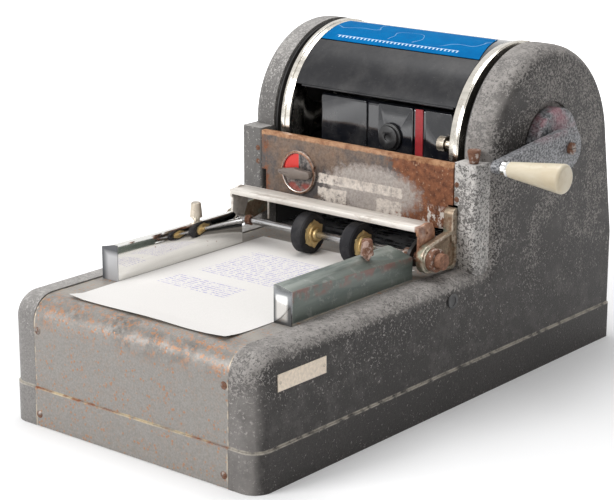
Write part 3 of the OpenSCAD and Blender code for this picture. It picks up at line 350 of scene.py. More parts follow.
def old_metal(name, color, rough, streak, tarnish=0.2, rust=0.0, shine=1.0):
    """Bare metal with streaks along one axis. A shine below 1 leaves part of it dull and chalky."""
    f = Finish(name)
    streaks = f.noise(160, 4.0, 0.6, streak)
    clouds = f.noise(38, 5.0, 0.65)
    base = f.shade(f.ramp(streaks, 0.3, 0.7), [c * 0.82 for c in color], color)
    dull = f.ramp(clouds, 0.52, 0.70, 0.0, tarnish)
    base = f.mix(dull, base, TARNISH)
    metal = f.ramp(dull, 0.0, 1.0, shine, shine * 0.55)
    roughness = f.sum("ADD", f.ramp(streaks, 0.35, 0.7, rough * 0.7, rough * 1.5), f.times(dull, 0.3))
    if rust:
        limit = 0.70 - 0.16 * rust
        spots = f.ramp(f.noise(190, 5.0, 0.7), limit, limit + 0.04)
        brown = f.shade(f.ramp(f.noise(300, 3.0), 0.35, 0.65), RUST_DARK, RUST)
        base = f.mix(spots, base, brown)
        metal = f.sum("MULTIPLY", metal, f.ramp(spots, 0.0, 1.0, 1.0, 0.1))
        roughness = f.sum("MAXIMUM", roughness, f.times(spots, 0.85))
    f.bump(streaks, 0.00008, 0.4)
    return f.done(base, roughness, metal)


ALONG_X, ALONG_Y, ALL_ROUND = (0.06, 1.0, 1.0), (1.0, 0.06, 1.0), (1.0, 1.0, 1.0)
ACROSS_RIM = (0.15, 1.0, 1.0)
paints["chrome"] = old_metal("chrome", (0.80, 0.79, 0.77), 0.13, ALL_ROUND, tarnish=0.22, rust=0.12)
paints["ring_chrome"] = old_metal("ring_chrome", (0.74, 0.70, 0.63), 0.16, ACROSS_RIM,
                                  tarnish=0.55, rust=0.3)
paints["bright_steel"] = old_metal("bright_steel", (0.60, 0.60, 0.61), 0.26, ALONG_X,
                                   tarnish=0.35, rust=0.15)
paints["nickel"] = old_metal("nickel", (0.52, 0.46, 0.38), 0.34, ALL_ROUND, tarnish=0.5, rust=0.4)
paints["brass"] = old_metal("brass", (0.80, 0.60, 0.29), 0.42, ALL_ROUND,
                            tarnish=0.3, rust=0.1, shine=0.75)
paints["bronze"] = old_metal("bronze", (0.55, 0.40, 0.20), 0.35, ALL_ROUND, tarnish=0.4)


def shaft_metal():
    """Bright shaft whose end knob, right of the bracket, is brown with rust."""
    f = Finish("shaft_metal")
    grain = f.noise(300, 5.0, 0.7)
    streaks = f.noise(160, 4.0, 0.6, ALONG_X)
    bright = f.shade(f.ramp(streaks, 0.3, 0.7), (0.42, 0.42, 0.43), (0.62, 0.62, 0.63))
    brown = f.shade(f.ramp(grain, 0.3, 0.7), RUST_DARK, (0.30, 0.15, 0.09))
    knob = f.ramp(f.axis("X"), 0.1310, 0.1315)
    f.bump(f.times(grain, knob), 0.0002, 0.5)
    return f.done(f.mix(knob, bright, brown), f.ramp(knob, 0.0, 1.0, 0.26, 0.7),
                  f.ramp(knob, 0.0, 1.0, 1.0, 0.2))


def guard_metal():
    """Whitish worn zinc on the bar; the plate at its right end has rusted."""
    f = Finish("guard_metal")
    streaks = f.noise(160, 4.0, 0.6, ALONG_X)
    blots = f.noise(60, 6.0, 0.7, (0.4, 1.0, 1.0))
    base = f.shade(f.ramp(streaks, 0.3, 0.7), (0.50, 0.465, 0.42), (0.76, 0.72, 0.67))
    base = f.mix(f.ramp(blots, 0.54, 0.66, 0.0, 0.55), base, (0.30, 0.24, 0.19))
    brown = f.shade(f.ramp(f.noise(150, 5.0), 0.35, 0.65), (0.16, 0.06, 0.03), (0.42, 0.22, 0.13))
    plate = f.ramp(f.axis("X"), 0.1240, 0.1262)
    base = f.mix(f.times(plate, f.ramp(blots, 0.36, 0.46, 0.75, 1.0)), base, brown)
    f.bump(streaks, 0.00008, 0.4)
    return f.done(base, 0.42, f.ramp(plate, 0.0, 1.0, 0.45, 0.1))


def guide_mirror():
    """Mirror-bright guide; its rolled front end is duller and carries a painted reflection: dark along its
    top and its left edge, light grey between.
    """
    f = Finish("guide_mirror")
    low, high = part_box("left_guide")
    streaks = f.noise(160, 4.0, 0.6, ALONG_Y)
    base = f.shade(f.ramp(streaks, 0.3, 0.7), (0.78, 0.77, 0.74), (0.90, 0.89, 0.86))
    specks = f.ramp(f.noise(210, 5.0, 0.7), 0.655, 0.69)
    base = f.mix(f.times(specks, 0.8), base, (0.30, 0.14, 0.07))
    # The front end is painted with a reflection: light grey, dark along the top and the left edge.
    end = f.ramp(f.axis("Y"), low.y + 0.0016, low.y + 0.0008)
    rim = f.sum("MAXIMUM", f.ramp(f.axis("X"), low.x + 0.009, low.x + 0.002),
                f.ramp(f.axis("Z"), high.z - 0.012, high.z - 0.006))
    painted_reflection = f.shade(rim, (0.46, 0.46, 0.47), (0.075, 0.078, 0.085))
    base = f.mix(end, base, painted_reflection)
    f.bump(streaks, 0.00006, 0.4)
    return f.done(base, f.ramp(end, 0.0, 1.0, 0.06, 0.5), f.ramp(end, 0.0, 1.0, 1.0, 0.25))


paints["shaft_metal"] = shaft_metal()
paints["guard_metal"] = guard_metal()
paints["guide_mirror"] = guide_mirror()
paints["knob_dull"] = old_metal("knob_dull", (0.19, 0.155, 0.135), 0.42, ALL_ROUND,
                                tarnish=0.5, rust=0.35, shine=0.5)
print("metals", len(paints))

# %% [markdown]
# Screws, nuts and collars have gone brown all through. Their rust is a base in its own right, with
# bare steel only where a tool has touched it.


# %% Rusty steel
def rusty_steel(name, bare_share, bare_color=(0.42, 0.36, 0.32)):
    f = Finish(name)
    grain = f.noise(420, 5.0, 0.7)
    base = f.shade(f.ramp(grain, 0.3, 0.7), RUST_DARK, (0.24, 0.12, 0.075))
    bare = f.ramp(f.noise(150, 4.0, 0.6), 0.60 - bare_share * 0.3, 0.68 - bare_share * 0.3)
    base = f.mix(bare, base, bare_color)
    f.bump(grain, 0.0003, 0.6)
    return f.done(base, f.ramp(bare, 0.0, 1.0, 0.85, 0.42), f.ramp(bare, 0.0, 1.0, 0.05, 0.8))


paints["rusty_steel"] = rusty_steel("rusty_steel", 0.25)
paints["rusty_screw"] = rusty_steel("rusty_screw", 0.30, (0.22, 0.19, 0.17))
paints["rusty_knob"] = rusty_steel("rusty_knob", 0.45, (0.34, 0.24, 0.20))

# %% [markdown]
# ## Black and coloured parts
# The drum's cover and the ink tank are black japanned sheet, glossy where it is clean and grey
# with dust elsewhere. The rubber, the plastic knobs and the painted plates use the same idea: a
# flat colour, a faint cloud of dust in colour and roughness, and a little orange peel as bump.


# %% Gloss and matt finishes
def dusty(name, color, rough, dust, coat=0.0, grain=300, depth=0.00008, metal=0.0, mirror=0.5):
    """A flat colour under a film of dust. grain and depth set the orange peel, and mirror how much
    of the surroundings a surface without a coat gives back."""
    f = Finish(name)
    f.shader.inputs["Specular IOR Level"].default_value = mirror
    clouds = f.noise(28, 6.0, 0.7)
    fine = f.noise(grain, 3.0, 0.6)
    base = f.shade(f.ramp(fine, 0.3, 0.7), [c * 0.85 for c in color], [c * 1.15 for c in color])
    film = f.ramp(clouds, 0.45, 0.75, 0.0, dust)
    specks = f.ramp(f.noise(620, 2.0, 0.5), 0.735, 0.75)
    film = f.sum("MAXIMUM", film, f.times(specks, min(1.0, dust * 3)))
    base = f.mix(film, base, (0.42, 0.40, 0.38))
    f.bump(fine, depth, 0.4)
    return f.done(base, f.ramp(film, 0.0, 0.5, rough, min(0.9, rough + 0.35)), metal, coat)


paints["black_enamel"] = dusty("black_enamel", (0.008, 0.009, 0.013), 0.14, 0.10, coat=0.6)
paints["cover_black"] = dusty("cover_black", (0.010, 0.010, 0.012), 0.30, 0.07, mirror=0.32)
paints["black_plastic"] = dusty("black_plastic", (0.018, 0.018, 0.019), 0.38, 0.12)
paints["black_rubber"] = dusty("black_rubber", (0.014, 0.0135, 0.016), 0.75, 0.12,
                               grain=500, depth=0.0002, mirror=0.25)
paints["black_paint"] = dusty("black_paint", (0.012, 0.011, 0.011), 0.55, 0.05)
paints["dark_steel"] = dusty("dark_steel", (0.055, 0.052, 0.05), 0.48, 0.15, metal=0.5)
paints["gauge_red"] = dusty("gauge_red", (0.36, 0.012, 0.018), 0.4, 0.06)
paints["plate_cream"] = dusty("plate_cream", (0.82, 0.70, 0.57), 0.45, 0.12)
print("finishes so far", len(paints))

# %% [markdown]
# ## Control panel
# The panel's enamel has mostly gone: red-brown rust spreads from the right and along the top fold,
# bluish grey paint is left on the left, and pale faded patches lie in the middle. The lettering and
# the picture that such a panel carries are left off, and plain worn patches stand in their place:
# a round faded field, a long pale stripe across it and two low patches, with edges eaten by a noise.


# %% Panel enamel
def panel_enamel():
    f = Finish("panel_enamel")
    x, z = f.axis("X"), f.axis("Z")
    grain = f.noise(420, 5.0, 0.72)
    clouds = f.noise(24, 6.0, 0.68, None, 0.6)
    flecks = f.noise(150, 6.0, 0.75)
    grey = f.shade(f.ramp(grain, 0.3, 0.7), (0.044, 0.038, 0.038), (0.100, 0.090, 0.087))
    tan = f.shade(f.ramp(grain, 0.35, 0.65), (0.125, 0.075, 0.048), (0.235, 0.160, 0.112))
    base = f.mix(f.ramp(clouds, 0.42, 0.60), grey, tan)
    rust = f.shade(f.ramp(flecks, 0.34, 0.62), (0.085, 0.03, 0.017), (0.27, 0.105, 0.05))
    rust = f.mix(f.ramp(f.noise(260, 4.0, 0.7), 0.60, 0.66, 0.0, 0.7), rust, (0.46, 0.31, 0.21))
    to_right = f.ramp(x, 0.03, 0.085, -0.12, 0.40)
    left_edge = f.ramp(x, -0.112, -0.124, 0.0, 0.20)
    share = f.sum("ADD", clouds, f.sum("ADD", to_right, left_edge))
    share = f.sum("ADD", share, f.times(f.sum("SUBTRACT", grain, 0.5), 0.45))
    base = f.mix(f.ramp(share, 0.54, 0.62), base, rust)

    across = f.times(f.sum("SUBTRACT", x, 0.026), 1 / 0.066)
    up = f.times(f.sum("SUBTRACT", z, 0.2035), 1 / 0.027)
    radius = f.sum("ADD", f.times(across, across), f.times(up, up))
    radius = f.sum("ADD", radius, f.times(f.sum("SUBTRACT", flecks, 0.5), 1.8))
    field = f.ramp(radius, 1.15, 0.60)
    faded = f.shade(f.ramp(grain, 0.3, 0.7), (0.30, 0.265, 0.245), (0.56, 0.50, 0.455))
    base = f.mix(f.times(field, 0.9), base, faded)
    stripe = f.times(f.band(z, 0.2055, 0.0050, 0.0022), f.band(x, 0.008, 0.056, 0.006))
    low = f.sum("ADD", f.band(x, -0.030, 0.019, 0.004), f.band(x, 0.048, 0.016, 0.005))
    low = f.times(low, f.band(z, 0.188, 0.007, 0.003))
    worn = f.sum("MAXIMUM", stripe, low)
    worn = f.sum("SUBTRACT", worn, f.ramp(f.noise(70, 5.0, 0.7), 0.46, 0.68, 0.0, 0.35))
    eaten = f.ramp(f.sum("ADD", f.times(worn, 0.5), f.sum("SUBTRACT", 1.0, flecks)), 0.80, 0.98)
    pale = f.shade(f.ramp(grain, 0.3, 0.7), (0.56, 0.49, 0.43), (0.84, 0.76, 0.68))
    base = f.mix(f.times(f.ramp(worn, 0.0, 0.5), eaten, 0.95), base, pale)
    low_right = f.times(f.band(x, 0.108, 0.012, 0.006), f.band(z, 0.187, 0.008, 0.006))
    flakes = f.ramp(f.noise(210, 5.0, 0.7, (1.0, 1.0, 0.5)), 0.49, 0.54)
    base = f.mix(f.times(low_right, flakes, 0.9), base, (0.74, 0.69, 0.64))

    fold = f.ramp(f.sum("ADD", z, f.times(f.sum("SUBTRACT", flecks, 0.5), 0.006)), 0.2425, 0.2440)
    lip = f.shade(f.ramp(f.noise(120, 5.0, 0.7), 0.36, 0.62), (0.20, 0.075, 0.03), (0.46, 0.26, 0.14))
    base = f.mix(fold, base, lip)
    f.bump(f.sum("ADD", grain, clouds), 0.0004, 0.5)
    f.shader.inputs["Specular IOR Level"].default_value = 0.35
    return f.done(base, f.ramp(share, 0.5, 0.65, 0.45, 0.85))


paints["panel_enamel"] = panel_enamel()

# %% [markdown]
# ## Dial
# The dial's black face has a red quarter, which the signs of the offsets from its centre pick out.
# On the ring round it the squared distance from the centre finds the two rubbed lines.


# %% Dial
INNER_LINE = 0.0215
OUTER_LINE = (0.0240, 0.0243)  # radii between which the outer rubbed line sets in


def dial_offsets(f):
    """Offsets to the right and up from the dial's centre."""
    return f.sum("SUBTRACT", f.axis("X"), DIAL.x), f.sum("SUBTRACT", f.axis("Z"), DIAL.z)


def dial_paint():
    """Black dial with a red field from nine to twelve o'clock and worn grey patches."""
    f = Finish("dial_paint")
    across, up = dial_offsets(f)
    red = f.times(f.ramp(across, 0.0003, -0.0003), f.ramp(up, -0.0003, 0.0003))
    wear = f.noise(200, 5.0, 0.7)
    grey = f.shade(f.ramp(wear, 0.42, 0.62), (0.028, 0.025, 0.025), (0.26, 0.22, 0.20))
    low_red = f.times(f.ramp(up, -0.010, -0.014), f.ramp(f.noise(70, 3.0), 0.44, 0.56))
    base = f.mix(f.times(low_red, 0.7), grey, (0.36, 0.05, 0.03))
    base = f.mix(red, base, (0.70, 0.030, 0.022))
    return f.done(base, 0.42)


def dial_ring():
    """Brass ring gone brown, with bright rubbed lines on its inner and outer edges."""
    f = Finish("dial_ring")
    across, up = dial_offsets(f)
    squared = f.sum("ADD", f.times(across, across), f.times(up, up))
    grain = f.noise(240, 5.0, 0.7)
    base = f.shade(f.ramp(grain, 0.35, 0.65), (0.10, 0.045, 0.026), (0.34, 0.20, 0.13))
    inner = f.band(squared, INNER_LINE ** 2, 0.00002, 0.00001)
    outer = f.times(f.ramp(squared, OUTER_LINE[0] ** 2, OUTER_LINE[1] ** 2), f.ramp(grain, 0.40, 0.55))
    line = f.sum("MAXIMUM", inner, outer)
    base = f.mix(f.times(line, 0.8), base, (0.72, 0.68, 0.64))
    f.bump(grain, 0.0002, 0.5)
    return f.done(base, f.ramp(line, 0.0, 1.0, 0.5, 0.25), f.ramp(line, 0.0, 1.0, 0.6, 0.9))


paints["dial_red"] = dial_paint()
paints["dial_ring"] = dial_ring()

# %% [markdown]
# ## Stencil header
# The end of the stencil is clipped to the top of the drum: blue coated paper with a printed rule
# of white marks along its lower edge. The marks are a pattern, not pieces: the place along X gives
# the pitch, and the angle round the drum's axis says how far up each mark reaches. A soft noise
# adds a few faint curls higher up.


# %% Blue header
MARK_PITCH = 0.0052
HEADER_EDGE = math.radians(25.3)


def header_blue():
    f = Finish("header_blue")
    away = f.sum("SUBTRACT", f.axis("Y"), DRUM_Y)
    up = f.sum("SUBTRACT", f.axis("Z"), DRUM_Z)
    angle = f.sum("ARCTAN2", f.times(away, -1.0), up)
    base = f.shade(f.ramp(f.noise(60, 4.0), 0.3, 0.7), (0.0, 0.120, 0.335), (0.0, 0.155, 0.40))
    pitch = f.sum("FRACT", f.times(f.sum("ADD", f.axis("X"), 1.0), 1 / MARK_PITCH))
    long_marks = f.times(f.band(pitch, 0.5, 0.17, 0.05), f.band(angle, HEADER_EDGE - 0.016, 0.014, 0.004))
    base_line = f.band(angle, HEADER_EDGE - 0.034, 0.0022, 0.002)
    reach = f.ramp(f.axis("X"), 0.074, 0.076, 1.0, 0.0)
    start = f.ramp(f.axis("X"), -0.092, -0.090)
    marks = f.times(f.sum("MAXIMUM", long_marks, base_line), reach, start)
    curls = f.band(f.noise(17, 1.5, 0.4, (0.8, 1.6, 1.6)), 0.5, 0.0025, 0.002)
    curls = f.times(curls, f.ramp(angle, HEADER_EDGE - 0.07, HEADER_EDGE - 0.09), 0.35)
    marks = f.sum("MAXIMUM", f.times(marks, 0.85), curls)
    base = f.mix(marks, base, (0.62, 0.78, 0.92))
    f.shader.inputs["Specular IOR Level"].default_value = 0.03
    return f.done(base, 0.6)


paints["header_blue"] = header_blue()

# %% [markdown]
# ## Crank and grip
# The crank is hammered paint with a pink trace of old colour on its disc. The grip is cast resin
# that has yellowed in streaks, with a little light scattered below its surface.


# %% Crank and grip
def crank_grey():
    f = Finish("crank_grey")
    pebbles = f.noise(430, 3.0, 0.6)
    base = f.shade(f.ramp(pebbles, 0.40, 0.60), (0.045, 0.048, 0.054), (0.29, 0.29, 0.30))
    pink = f.times(f.ramp(f.noise(45, 4.0, 0.6), 0.46, 0.60),
                   f.ramp(f.axis("Z"), DRUM_Z + 0.012, DRUM_Z + 0.030))
    base = f.mix(f.times(pink, 0.5), base, (0.34, 0.10, 0.13))
    chalk = f.ramp(f.noise(260, 6.0, 0.8), 0.60, 0.68)
    base = f.mix(f.times(chalk, 0.6), base, DUST)
    f.bump(pebbles, 0.0004, 0.6)
    return f.done(base, 0.5, 0.25)


def cream_resin():
    f = Finish("cream_plastic")
    streaks = f.noise(70, 5.0, 0.6, (0.25, 1.0, 1.0), 0.4)
    base = f.shade(f.ramp(streaks, 0.3, 0.68), (0.56, 0.475, 0.335), (0.68, 0.615, 0.485))
    stains = f.ramp(f.noise(95, 5.0, 0.7), 0.56, 0.72, 0.0, 0.55)
    base = f.mix(stains, base, (0.46, 0.34, 0.19))
    f.bump(streaks, 0.0002, 0.3)
    f.shader.inputs["Subsurface Weight"].default_value = 0.12
    f.shader.inputs["Subsurface Radius"].default_value = (0.004, 0.003, 0.002)
    return f.done(base, 0.36)


paints["crank_grey"] = crank_grey()
paints["cream_plastic"] = cream_resin()

# %% [markdown]
# ## Right guide and brackets
# The right guide keeps its grey-green enamel, chipped red along its upper edge, with bright metal
# at its foot and round its front end. The brackets are brown with old oil, with the metal showing
# on their raised rims.


# %% Guide and bracket paint
def guide_grey():
    f = Finish("guide_grey")
    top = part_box("right_guide")[1].z
    scratches = f.noise(150, 4.0, 0.6, (1.0, 0.12, 1.0))
    base = f.shade(f.ramp(scratches, 0.3, 0.7), (0.090, 0.112, 0.100), (0.155, 0.180, 0.160))
    chips = f.ramp(f.noise(90, 6.0, 0.75), 0.56, 0.62)
    base = f.mix(f.times(chips, 0.45), base, (0.30, 0.31, 0.29))
    edge = f.times(f.band(f.axis("X"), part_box("right_guide")[1].x - 0.0003, 0.0003, 0.0005),
                   f.ramp(f.axis("Z"), TABLE_TOP + 0.020, TABLE_TOP + 0.024))
    base = f.mix(f.times(edge, f.ramp(f.noise(60, 4.0), 0.46, 0.58), 0.6), base, (0.23, 0.085, 0.07))
    bright = f.ramp(f.axis("Z"), TABLE_TOP + 0.0032, TABLE_TOP + 0.0022)
    front = f.ramp(f.axis("Y"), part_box("right_guide")[0].y + 0.0022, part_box("right_guide")[0].y + 0.0012)
    bright = f.sum("MAXIMUM", bright, front)
    low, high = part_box("right_guide")
    inside = f.times(f.band(f.axis("X"), (low.x + high.x) / 2 - 0.001, 0.0055, 0.003),
                     f.band(f.axis("Z"), (low.z + high.z) / 2 - 0.003, 0.010, 0.004))
    clear = f.sum("MAXIMUM", inside, f.sum("SUBTRACT", 1.0, front))
    shine = f.shade(clear, (0.16, 0.165, 0.17), (0.80, 0.79, 0.77))
    base = f.mix(bright, base, shine)
    pale = f.times(f.ramp(f.axis("Z"), top - 0.0045, top - 0.002), f.ramp(scratches, 0.40, 0.60), 0.35)
    base = f.mix(pale, base, (0.36, 0.38, 0.35))
    f.bump(scratches, 0.0001, 0.4)
    return f.done(base, f.ramp(bright, 0.0, 1.0, 0.40, 0.14), f.ramp(bright, 0.0, 1.0, 0.25, 1.0))


def bracket_paint():
    f = Finish("bronze_paint")
    grain = f.noise(260, 5.0, 0.7)
    base = f.shade(f.ramp(grain, 0.3, 0.7), (0.16, 0.11, 0.07), (0.36, 0.28, 0.20))
    spots = f.ramp(f.noise(75, 5.0, 0.7), 0.50, 0.62)
    base = f.mix(f.times(spots, 0.7), base, (0.16, 0.065, 0.03))
    green = f.times(f.band(f.noise(30, 3.0), 0.42, 0.03, 0.03), 0.5)
    base = f.mix(green, base, (0.22, 0.28, 0.22))
    rim = f.ramp(f.sum("ABSOLUTE", f.axis("X")), 0.1362, 0.1368)
    base = f.mix(f.times(rim, f.ramp(grain, 0.35, 0.6), 0.65), base, (0.62, 0.55, 0.45))
    f.bump(grain, 0.0003, 0.5)
    return f.done(base, 0.45, 0.55)


paints["guide_grey"] = guide_grey()
paints["bronze_paint"] = bracket_paint()

# %% [markdown]
# ## Paper
# The sheet on the table carries a few lines of pale violet duplicator print. No word of it can be
# read, so rows of uneven dashes stand in: the place along Y gives the rows, a noise that is
# stretched along X breaks each row into marks, and two soft boxes limit them to two paragraphs.


# %% Printed paper
ROW_PITCH = 0.0052


def printed_paper():
    f = Finish("paper_print")
    fibres = f.noise(900, 4.0, 0.6)
    base = f.shade(f.ramp(fibres, 0.3, 0.7), (0.70, 0.68, 0.66), (0.76, 0.74, 0.72))
    rows = f.sum("FRACT", f.times(f.sum("ADD", f.axis("Y"), 1.0), 1 / ROW_PITCH))
    row = f.band(rows, 0.5, 0.15, 0.08)
    words = f.ramp(f.noise(200, 3.0, 0.75, (1.0, 0.6, 1.0)), 0.45, 0.50)
    letters = f.ramp(f.noise(700, 2.0, 0.5), 0.40, 0.46)
    lower = f.times(f.band(f.axis("X"), -0.030, 0.044, 0.004), f.band(f.axis("Y"), -0.170, 0.018, 0.002))
    upper = f.times(f.band(f.axis("X"), -0.012, 0.055, 0.006), f.band(f.axis("Y"), -0.085, 0.044, 0.002))
    ink = f.times(row, words, letters, f.sum("MAXIMUM", lower, upper))
    base = f.mix(f.times(ink, 0.75), base, (0.25, 0.22, 0.52))
    creases = f.noise(12, 3.0, 0.5)
    f.bump(f.sum("ADD", fibres, f.times(creases, 14.0)), 0.00012, 0.5)
    return f.done(base, 0.85)


paints["paper"] = printed_paper()
print("finishes", len(paints))

# %% [markdown]
# ## Smooth copies of the solids
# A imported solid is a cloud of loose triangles, which would show every facet. Each one is copied,
# its doubled corners are merged and flat areas are joined up again. Then a small bevel takes the
# sharpness off the edges, as casting, bending and years of use do, and the shading is smoothed
# wherever two faces meet at a shallow angle. The copy then stands for the solid.


# %% Helpers for selecting and smoothing
MERGE_WITHIN = 0.000004
FLAT_WITHIN = math.radians(0.4)
BEVEL_FROM = math.radians(38)


def only(obj):
    """Makes obj the one selected, active object."""
    if bpy.context.object and bpy.context.object.mode != "OBJECT":
        bpy.ops.object.mode_set(mode="OBJECT")
    bpy.ops.object.select_all(action="DESELECT")
    obj.select_set(True)
    bpy.context.view_layer.objects.active = obj


def apply_modifier(obj, kind, **settings):
    only(obj)
    modifier = obj.modifiers.new(kind.title(), kind)
    for name, value in settings.items():
        setattr(modifier, name, value)
    bpy.ops.object.modifier_apply(modifier=modifier.name)


def smooth(obj, degrees=32):
    only(obj)
    bpy.ops.object.shade_smooth_by_angle(angle=math.radians(degrees))


def settle(obj, name, body, paint):
    """Names a finished piece, puts its place into its mesh, paints it and hangs it on a body."""
    only(obj)
    bpy.ops.object.transform_apply(location=True, rotation=True, scale=True)
    obj.name = name
    obj.data.name = name
    obj.data.materials.clear()
    obj.data.materials.append(paints[paint])
    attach(obj, body)
    return obj


def smooth_copy(node, bevel, paint, degrees=32):
    """A merged, softly bevelled copy of a CAD node that stands for it."""
    source = nodes[node]
    copy = source.copy()
    copy.data = source.data.copy()
    copy.parent = None
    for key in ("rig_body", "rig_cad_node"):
        if key in copy:
            del copy[key]
    bpy.context.scene.collection.objects.link(copy)
    only(copy)
    bpy.ops.object.mode_set(mode="EDIT")
    bpy.ops.mesh.select_all(action="SELECT")
    bpy.ops.mesh.remove_doubles(threshold=MERGE_WITHIN)
    bpy.ops.mesh.customdata_custom_splitnormals_clear()
    if bevel:
        bpy.ops.mesh.dissolve_limited(angle_limit=FLAT_WITHIN)
    bpy.ops.object.mode_set(mode="OBJECT")
    if bevel:
        apply_modifier(copy, "BEVEL", width=bevel, segments=2, limit_method="ANGLE",
                       angle_limit=BEVEL_FROM, use_clamp_overlap=True)
    smooth(copy, degrees)
    settle(copy, node + "_skin", body_of[node], paint)
    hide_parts(node)
    return copy


# %% [markdown]
# ## Finish and edge of each solid
# A solid wears the finish of its material slot, unless the first table names another one. The
# second table gives the width of its bevel in metres, and a solid that isn't in it gets none. The
# sheet of paper is left out, because the next step builds it anew.

# %% Which finish and which edge each solid gets
finish_of = {
    "left_casting": "hammered_left", "right_casting": "hammered_side", "left_post": "hammered_left",
    "right_post": "hammered_post", "rear_panel": "hammered_back", "left_ring": "ring_chrome",
    "right_ring": "ring_chrome", "guard_bar": "guard_metal", "left_guide": "guide_mirror",
    "front_screws": "rusty_screw", "post_screws": "rusty_screw", "cover_plate": "cover_black",
    "dial_bezel": "dial_ring", "selector_knob": "knob_dull", "right_guide_screw": "rusty_knob",
    "pressure_screw": "rusty_steel", "feed_shaft": "shaft_metal", "crank_screw": "rusty_screw",
}
edge_of = {
    "control_panel": 0.0004, "left_post": 0.0005, "right_post": 0.0005, "guard_bar": 0.0005,
    "left_guide": 0.0005, "right_guide": 0.0005, "crank_arm": 0.0012, "left_feed_bracket": 0.0005,
    "right_feed_bracket": 0.0005, "tank_covers": 0.0006, "ink_tank": 0.0005, "selector_knob": 0.0006,
    "ink_knob": 0.0008, "lock_knob": 0.0003, "feed_wheels": 0.0007, "wheel_hubs": 0.0004,
    "shaft_nut": 0.0008, "feed_shaft": 0.0005, "shaft_collars": 0.0004, "left_ring": 0.0003,
    "right_ring": 0.0003, "rear_panel": 0.0004, "crank_screw": 0.0004, "side_plug": 0.0003,
}
skins = {}
for node in nodes:
    if node == "paper_sheet":
        continue
    paint = finish_of.get(node, slot_of[node])
    skins[node] = smooth_copy(node, edge_of.get(node, 0.0), paint)
print("smoothed", len(skins), "solids")

# %% [markdown]
# ## The sheet of paper
# The sheet is a single leaf that has lain about for years: it lies on the table but its front
# corner and edges lift a little, in long soft waves. A grid is bent by a formula of its own
# coordinates, kept flat below the feed wheels, and given the thickness of paper.


# %% Sheet of paper
def make_paper():
    low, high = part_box("paper_sheet")
    width, length = high.x - low.x, high.y - low.y
    bpy.ops.mesh.primitive_grid_add(x_subdivisions=60, y_subdivisions=84, size=1.0,
                                    location=((low.x + high.x) / 2, (low.y + high.y) / 2, low.z + 0.00012))
    paper = bpy.context.object
    paper.scale = (width, length, 1.0)
    bpy.ops.object.transform_apply(location=False, rotation=False, scale=True)
    for vertex in paper.data.vertices:
        x, y = vertex.co.x, vertex.co.y
        forward = max(0.0, min(1.0, (length * 0.30 - y) / (length * 0.75)))
        wave = 0.5 + 0.5 * math.sin(x * 34 + y * 9 + 0.6) * math.cos(y * 21 - 0.4)
        rim = max(0.0, -y - length * 0.43) / (length * 0.07)
        lift = 0.0011 * forward * wave + 0.0016 * rim * (0.4 + 0.6 * math.sin(x * 23 + 1.1) ** 2)
        corner = max(0.0, (x - 0.035) / 0.07) * max(0.0, (-y - length * 0.34) / (length * 0.16))
        left = max(0.0, (-x - 0.085) / 0.02) * max(0.0, (-y - length * 0.44) / (length * 0.06))
        vertex.co.z += lift + 0.0026 * corner ** 2 + 0.002 * left
    apply_modifier(paper, "SOLIDIFY", thickness=0.0001, offset=1.0)
    smooth(paper, 60)
    settle(paper, "paper_leaf", "machine", "paper")
    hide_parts("paper_sheet")
    return paper


paper = make_paper()
print("paper lifts to", round(max(v.co.z for v in paper.data.vertices) - TABLE_TOP, 4))

# %% [markdown]
# ## Plate on the right side
# A small cream plate is held to the side by two rivets. It is left bare. A cube is scaled to the
# plate's size and its edges are bevelled; each rivet is a flattened sphere with half its height
# sunk in the plate.


# %% Bare side plate
PLATE_SIZE = Vector((0.0010, 0.071, 0.0172))
PLATE_Y, PLATE_Z = -0.2445, 0.1042
RIVET_R, RIVET_AWAY = 0.0016, 0.032


def make_side_plate():
    middle = Vector((SIDE_X + PLATE_SIZE.x / 2, PLATE_Y, PLATE_Z))
    bpy.ops.mesh.primitive_cube_add(size=1.0, location=middle)
    plate = bpy.context.object
    plate.scale = PLATE_SIZE
    bpy.ops.object.transform_apply(location=False, rotation=False, scale=True)
    apply_modifier(plate, "BEVEL", width=0.0005, segments=2)
    smooth(plate)
    settle(plate, "side_plate", "machine", "plate_cream")
    rivets = []
    for end in (-1, 1):
        place = (SIDE_X + PLATE_SIZE.x, middle.y + end * RIVET_AWAY, middle.z)
        bpy.ops.mesh.primitive_uv_sphere_add(segments=20, ring_count=10, radius=RIVET_R, location=place)
        rivet = bpy.context.object
        rivet.scale = (0.45, 1.0, 1.0)
        smooth(rivet, 60)
        rivets.append(rivet)
    only(rivets[0])
    rivets[1].select_set(True)
    bpy.ops.object.join()
    settle(bpy.context.object, "side_plate_rivets", "machine", "nickel")


make_side_plate()

# %% [markdown]
# ## Camera
# The picture was taken from the front right, a little above the machine, with a long lens. The
# lens and the place were found from the straight edges of the body, so they are used as they are.

# %% Camera
LENS_MM = 112.25
CAMERA_AT = (1.2451, -1.5416, 0.7051)
YAW, DOWN = math.radians(39.62), math.radians(15.90)
camera_data = bpy.data.cameras.new("camera")
camera_data.lens = LENS_MM
camera_data.sensor_width = 36.0
camera_data.sensor_fit = "HORIZONTAL"
camera_data.clip_end = 30.0
camera = bpy.data.objects.new("camera", camera_data)
camera.location = CAMERA_AT
camera.rotation_euler = (math.pi / 2 - DOWN, 0.0, YAW)
bpy.context.scene.collection.objects.link(camera)
bpy.context.scene.camera = camera

# %% [markdown]
# ## Lamps
# A product picture on white: one broad lamp from the front makes the front sheet and the table
# bright and leaves the right side dark. A broader one above lights the tops, and a weak one fills
# the right side.


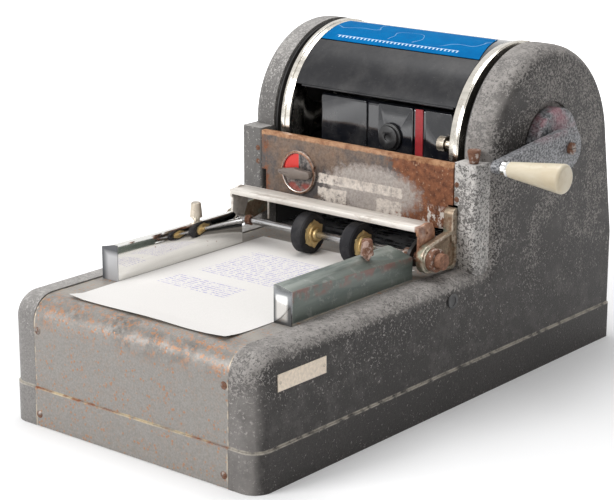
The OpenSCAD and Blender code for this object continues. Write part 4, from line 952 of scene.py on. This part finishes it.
# %% Lamps
def lamp(name, place, target, size, watts):
    data = bpy.data.lights.new(name, "AREA")
    data.shape = "RECTANGLE"
    data.size, data.size_y = size
    data.energy = watts
    obj = bpy.data.objects.new(name, data)
    obj.location = place
    obj.rotation_euler = (Vector(target) - Vector(place)).to_track_quat("-Z", "Y").to_euler()
    bpy.context.scene.collection.objects.link(obj)


lamp("key", place=(-1.0, -2.5, 1.5), target=(0, 0, 0.15), size=(1.3, 1.3), watts=58)
lamp("top", place=(-0.3, 0.2, 2.4), target=(0, 0, 0.1), size=(1.8, 1.8), watts=38)
lamp("fill", place=(2.6, -0.6, 1.0), target=(0, 0, 0.15), size=(1.4, 1.2), watts=8)

# %% [markdown]
# ## World and floor
# The world adds an even level of light. To the camera and in reflections it is white. The floor
# glows to the camera more and more with the distance from the machine, so it fades into the white
# behind but still takes the machine's soft shadow near its foot.


# %% World and floor
def seen_directly(tree):
    """1 for rays that show the surroundings: straight to the camera, mirrored or through glass."""
    path = tree.nodes.new("ShaderNodeLightPath")
    result = path.outputs["Is Camera Ray"]
    for ray in ("Is Glossy Ray", "Is Transmission Ray"):
        larger = tree.nodes.new("ShaderNodeMath")
        larger.operation = "MAXIMUM"
        tree.links.new(result, larger.inputs[0])
        tree.links.new(path.outputs[ray], larger.inputs[1])
        result = larger.outputs[0]
    return result


WORLD_LIGHT = 0.30
FLOOR_NEAR, FLOOR_FAR = 0.35, 1.3  # distances between which the floor's glow sets in
scene = bpy.context.scene
scene.view_settings.view_transform = "Standard"
world = bpy.data.worlds.new("studio")
scene.world = world
world.use_nodes = True
tree = world.node_tree
background = tree.nodes["Background"]
level = tree.nodes.new("ShaderNodeMapRange")
level.inputs["To Min"].default_value = WORLD_LIGHT
level.inputs["To Max"].default_value = 1.0
tree.links.new(seen_directly(tree), level.inputs["Value"])
tree.links.new(level.outputs["Result"], background.inputs["Strength"])
background.inputs["Color"].default_value = (1, 1, 1, 1)

bpy.ops.mesh.primitive_plane_add(size=14.0, location=(0, 0, -0.0002))
floor = bpy.context.object
floor.name = "studio_floor"
white = Finish("floor_white")
far = white.tree.nodes.new("ShaderNodeVectorMath")
far.operation = "LENGTH"
white.link(white.place, far.inputs[0])
glow = white.ramp(far.outputs["Value"], FLOOR_NEAR, FLOOR_FAR, 0.10, 1.0)
glow = white.times(glow, seen_directly(white.tree))
white.shader.inputs["Emission Color"].default_value = (1, 1, 1, 1)
white.shader.inputs["Specular IOR Level"].default_value = 0.1
white.link(glow, white.shader.inputs["Emission Strength"])
floor.data.materials.append(white.done((0.88, 0.88, 0.885), 0.9))
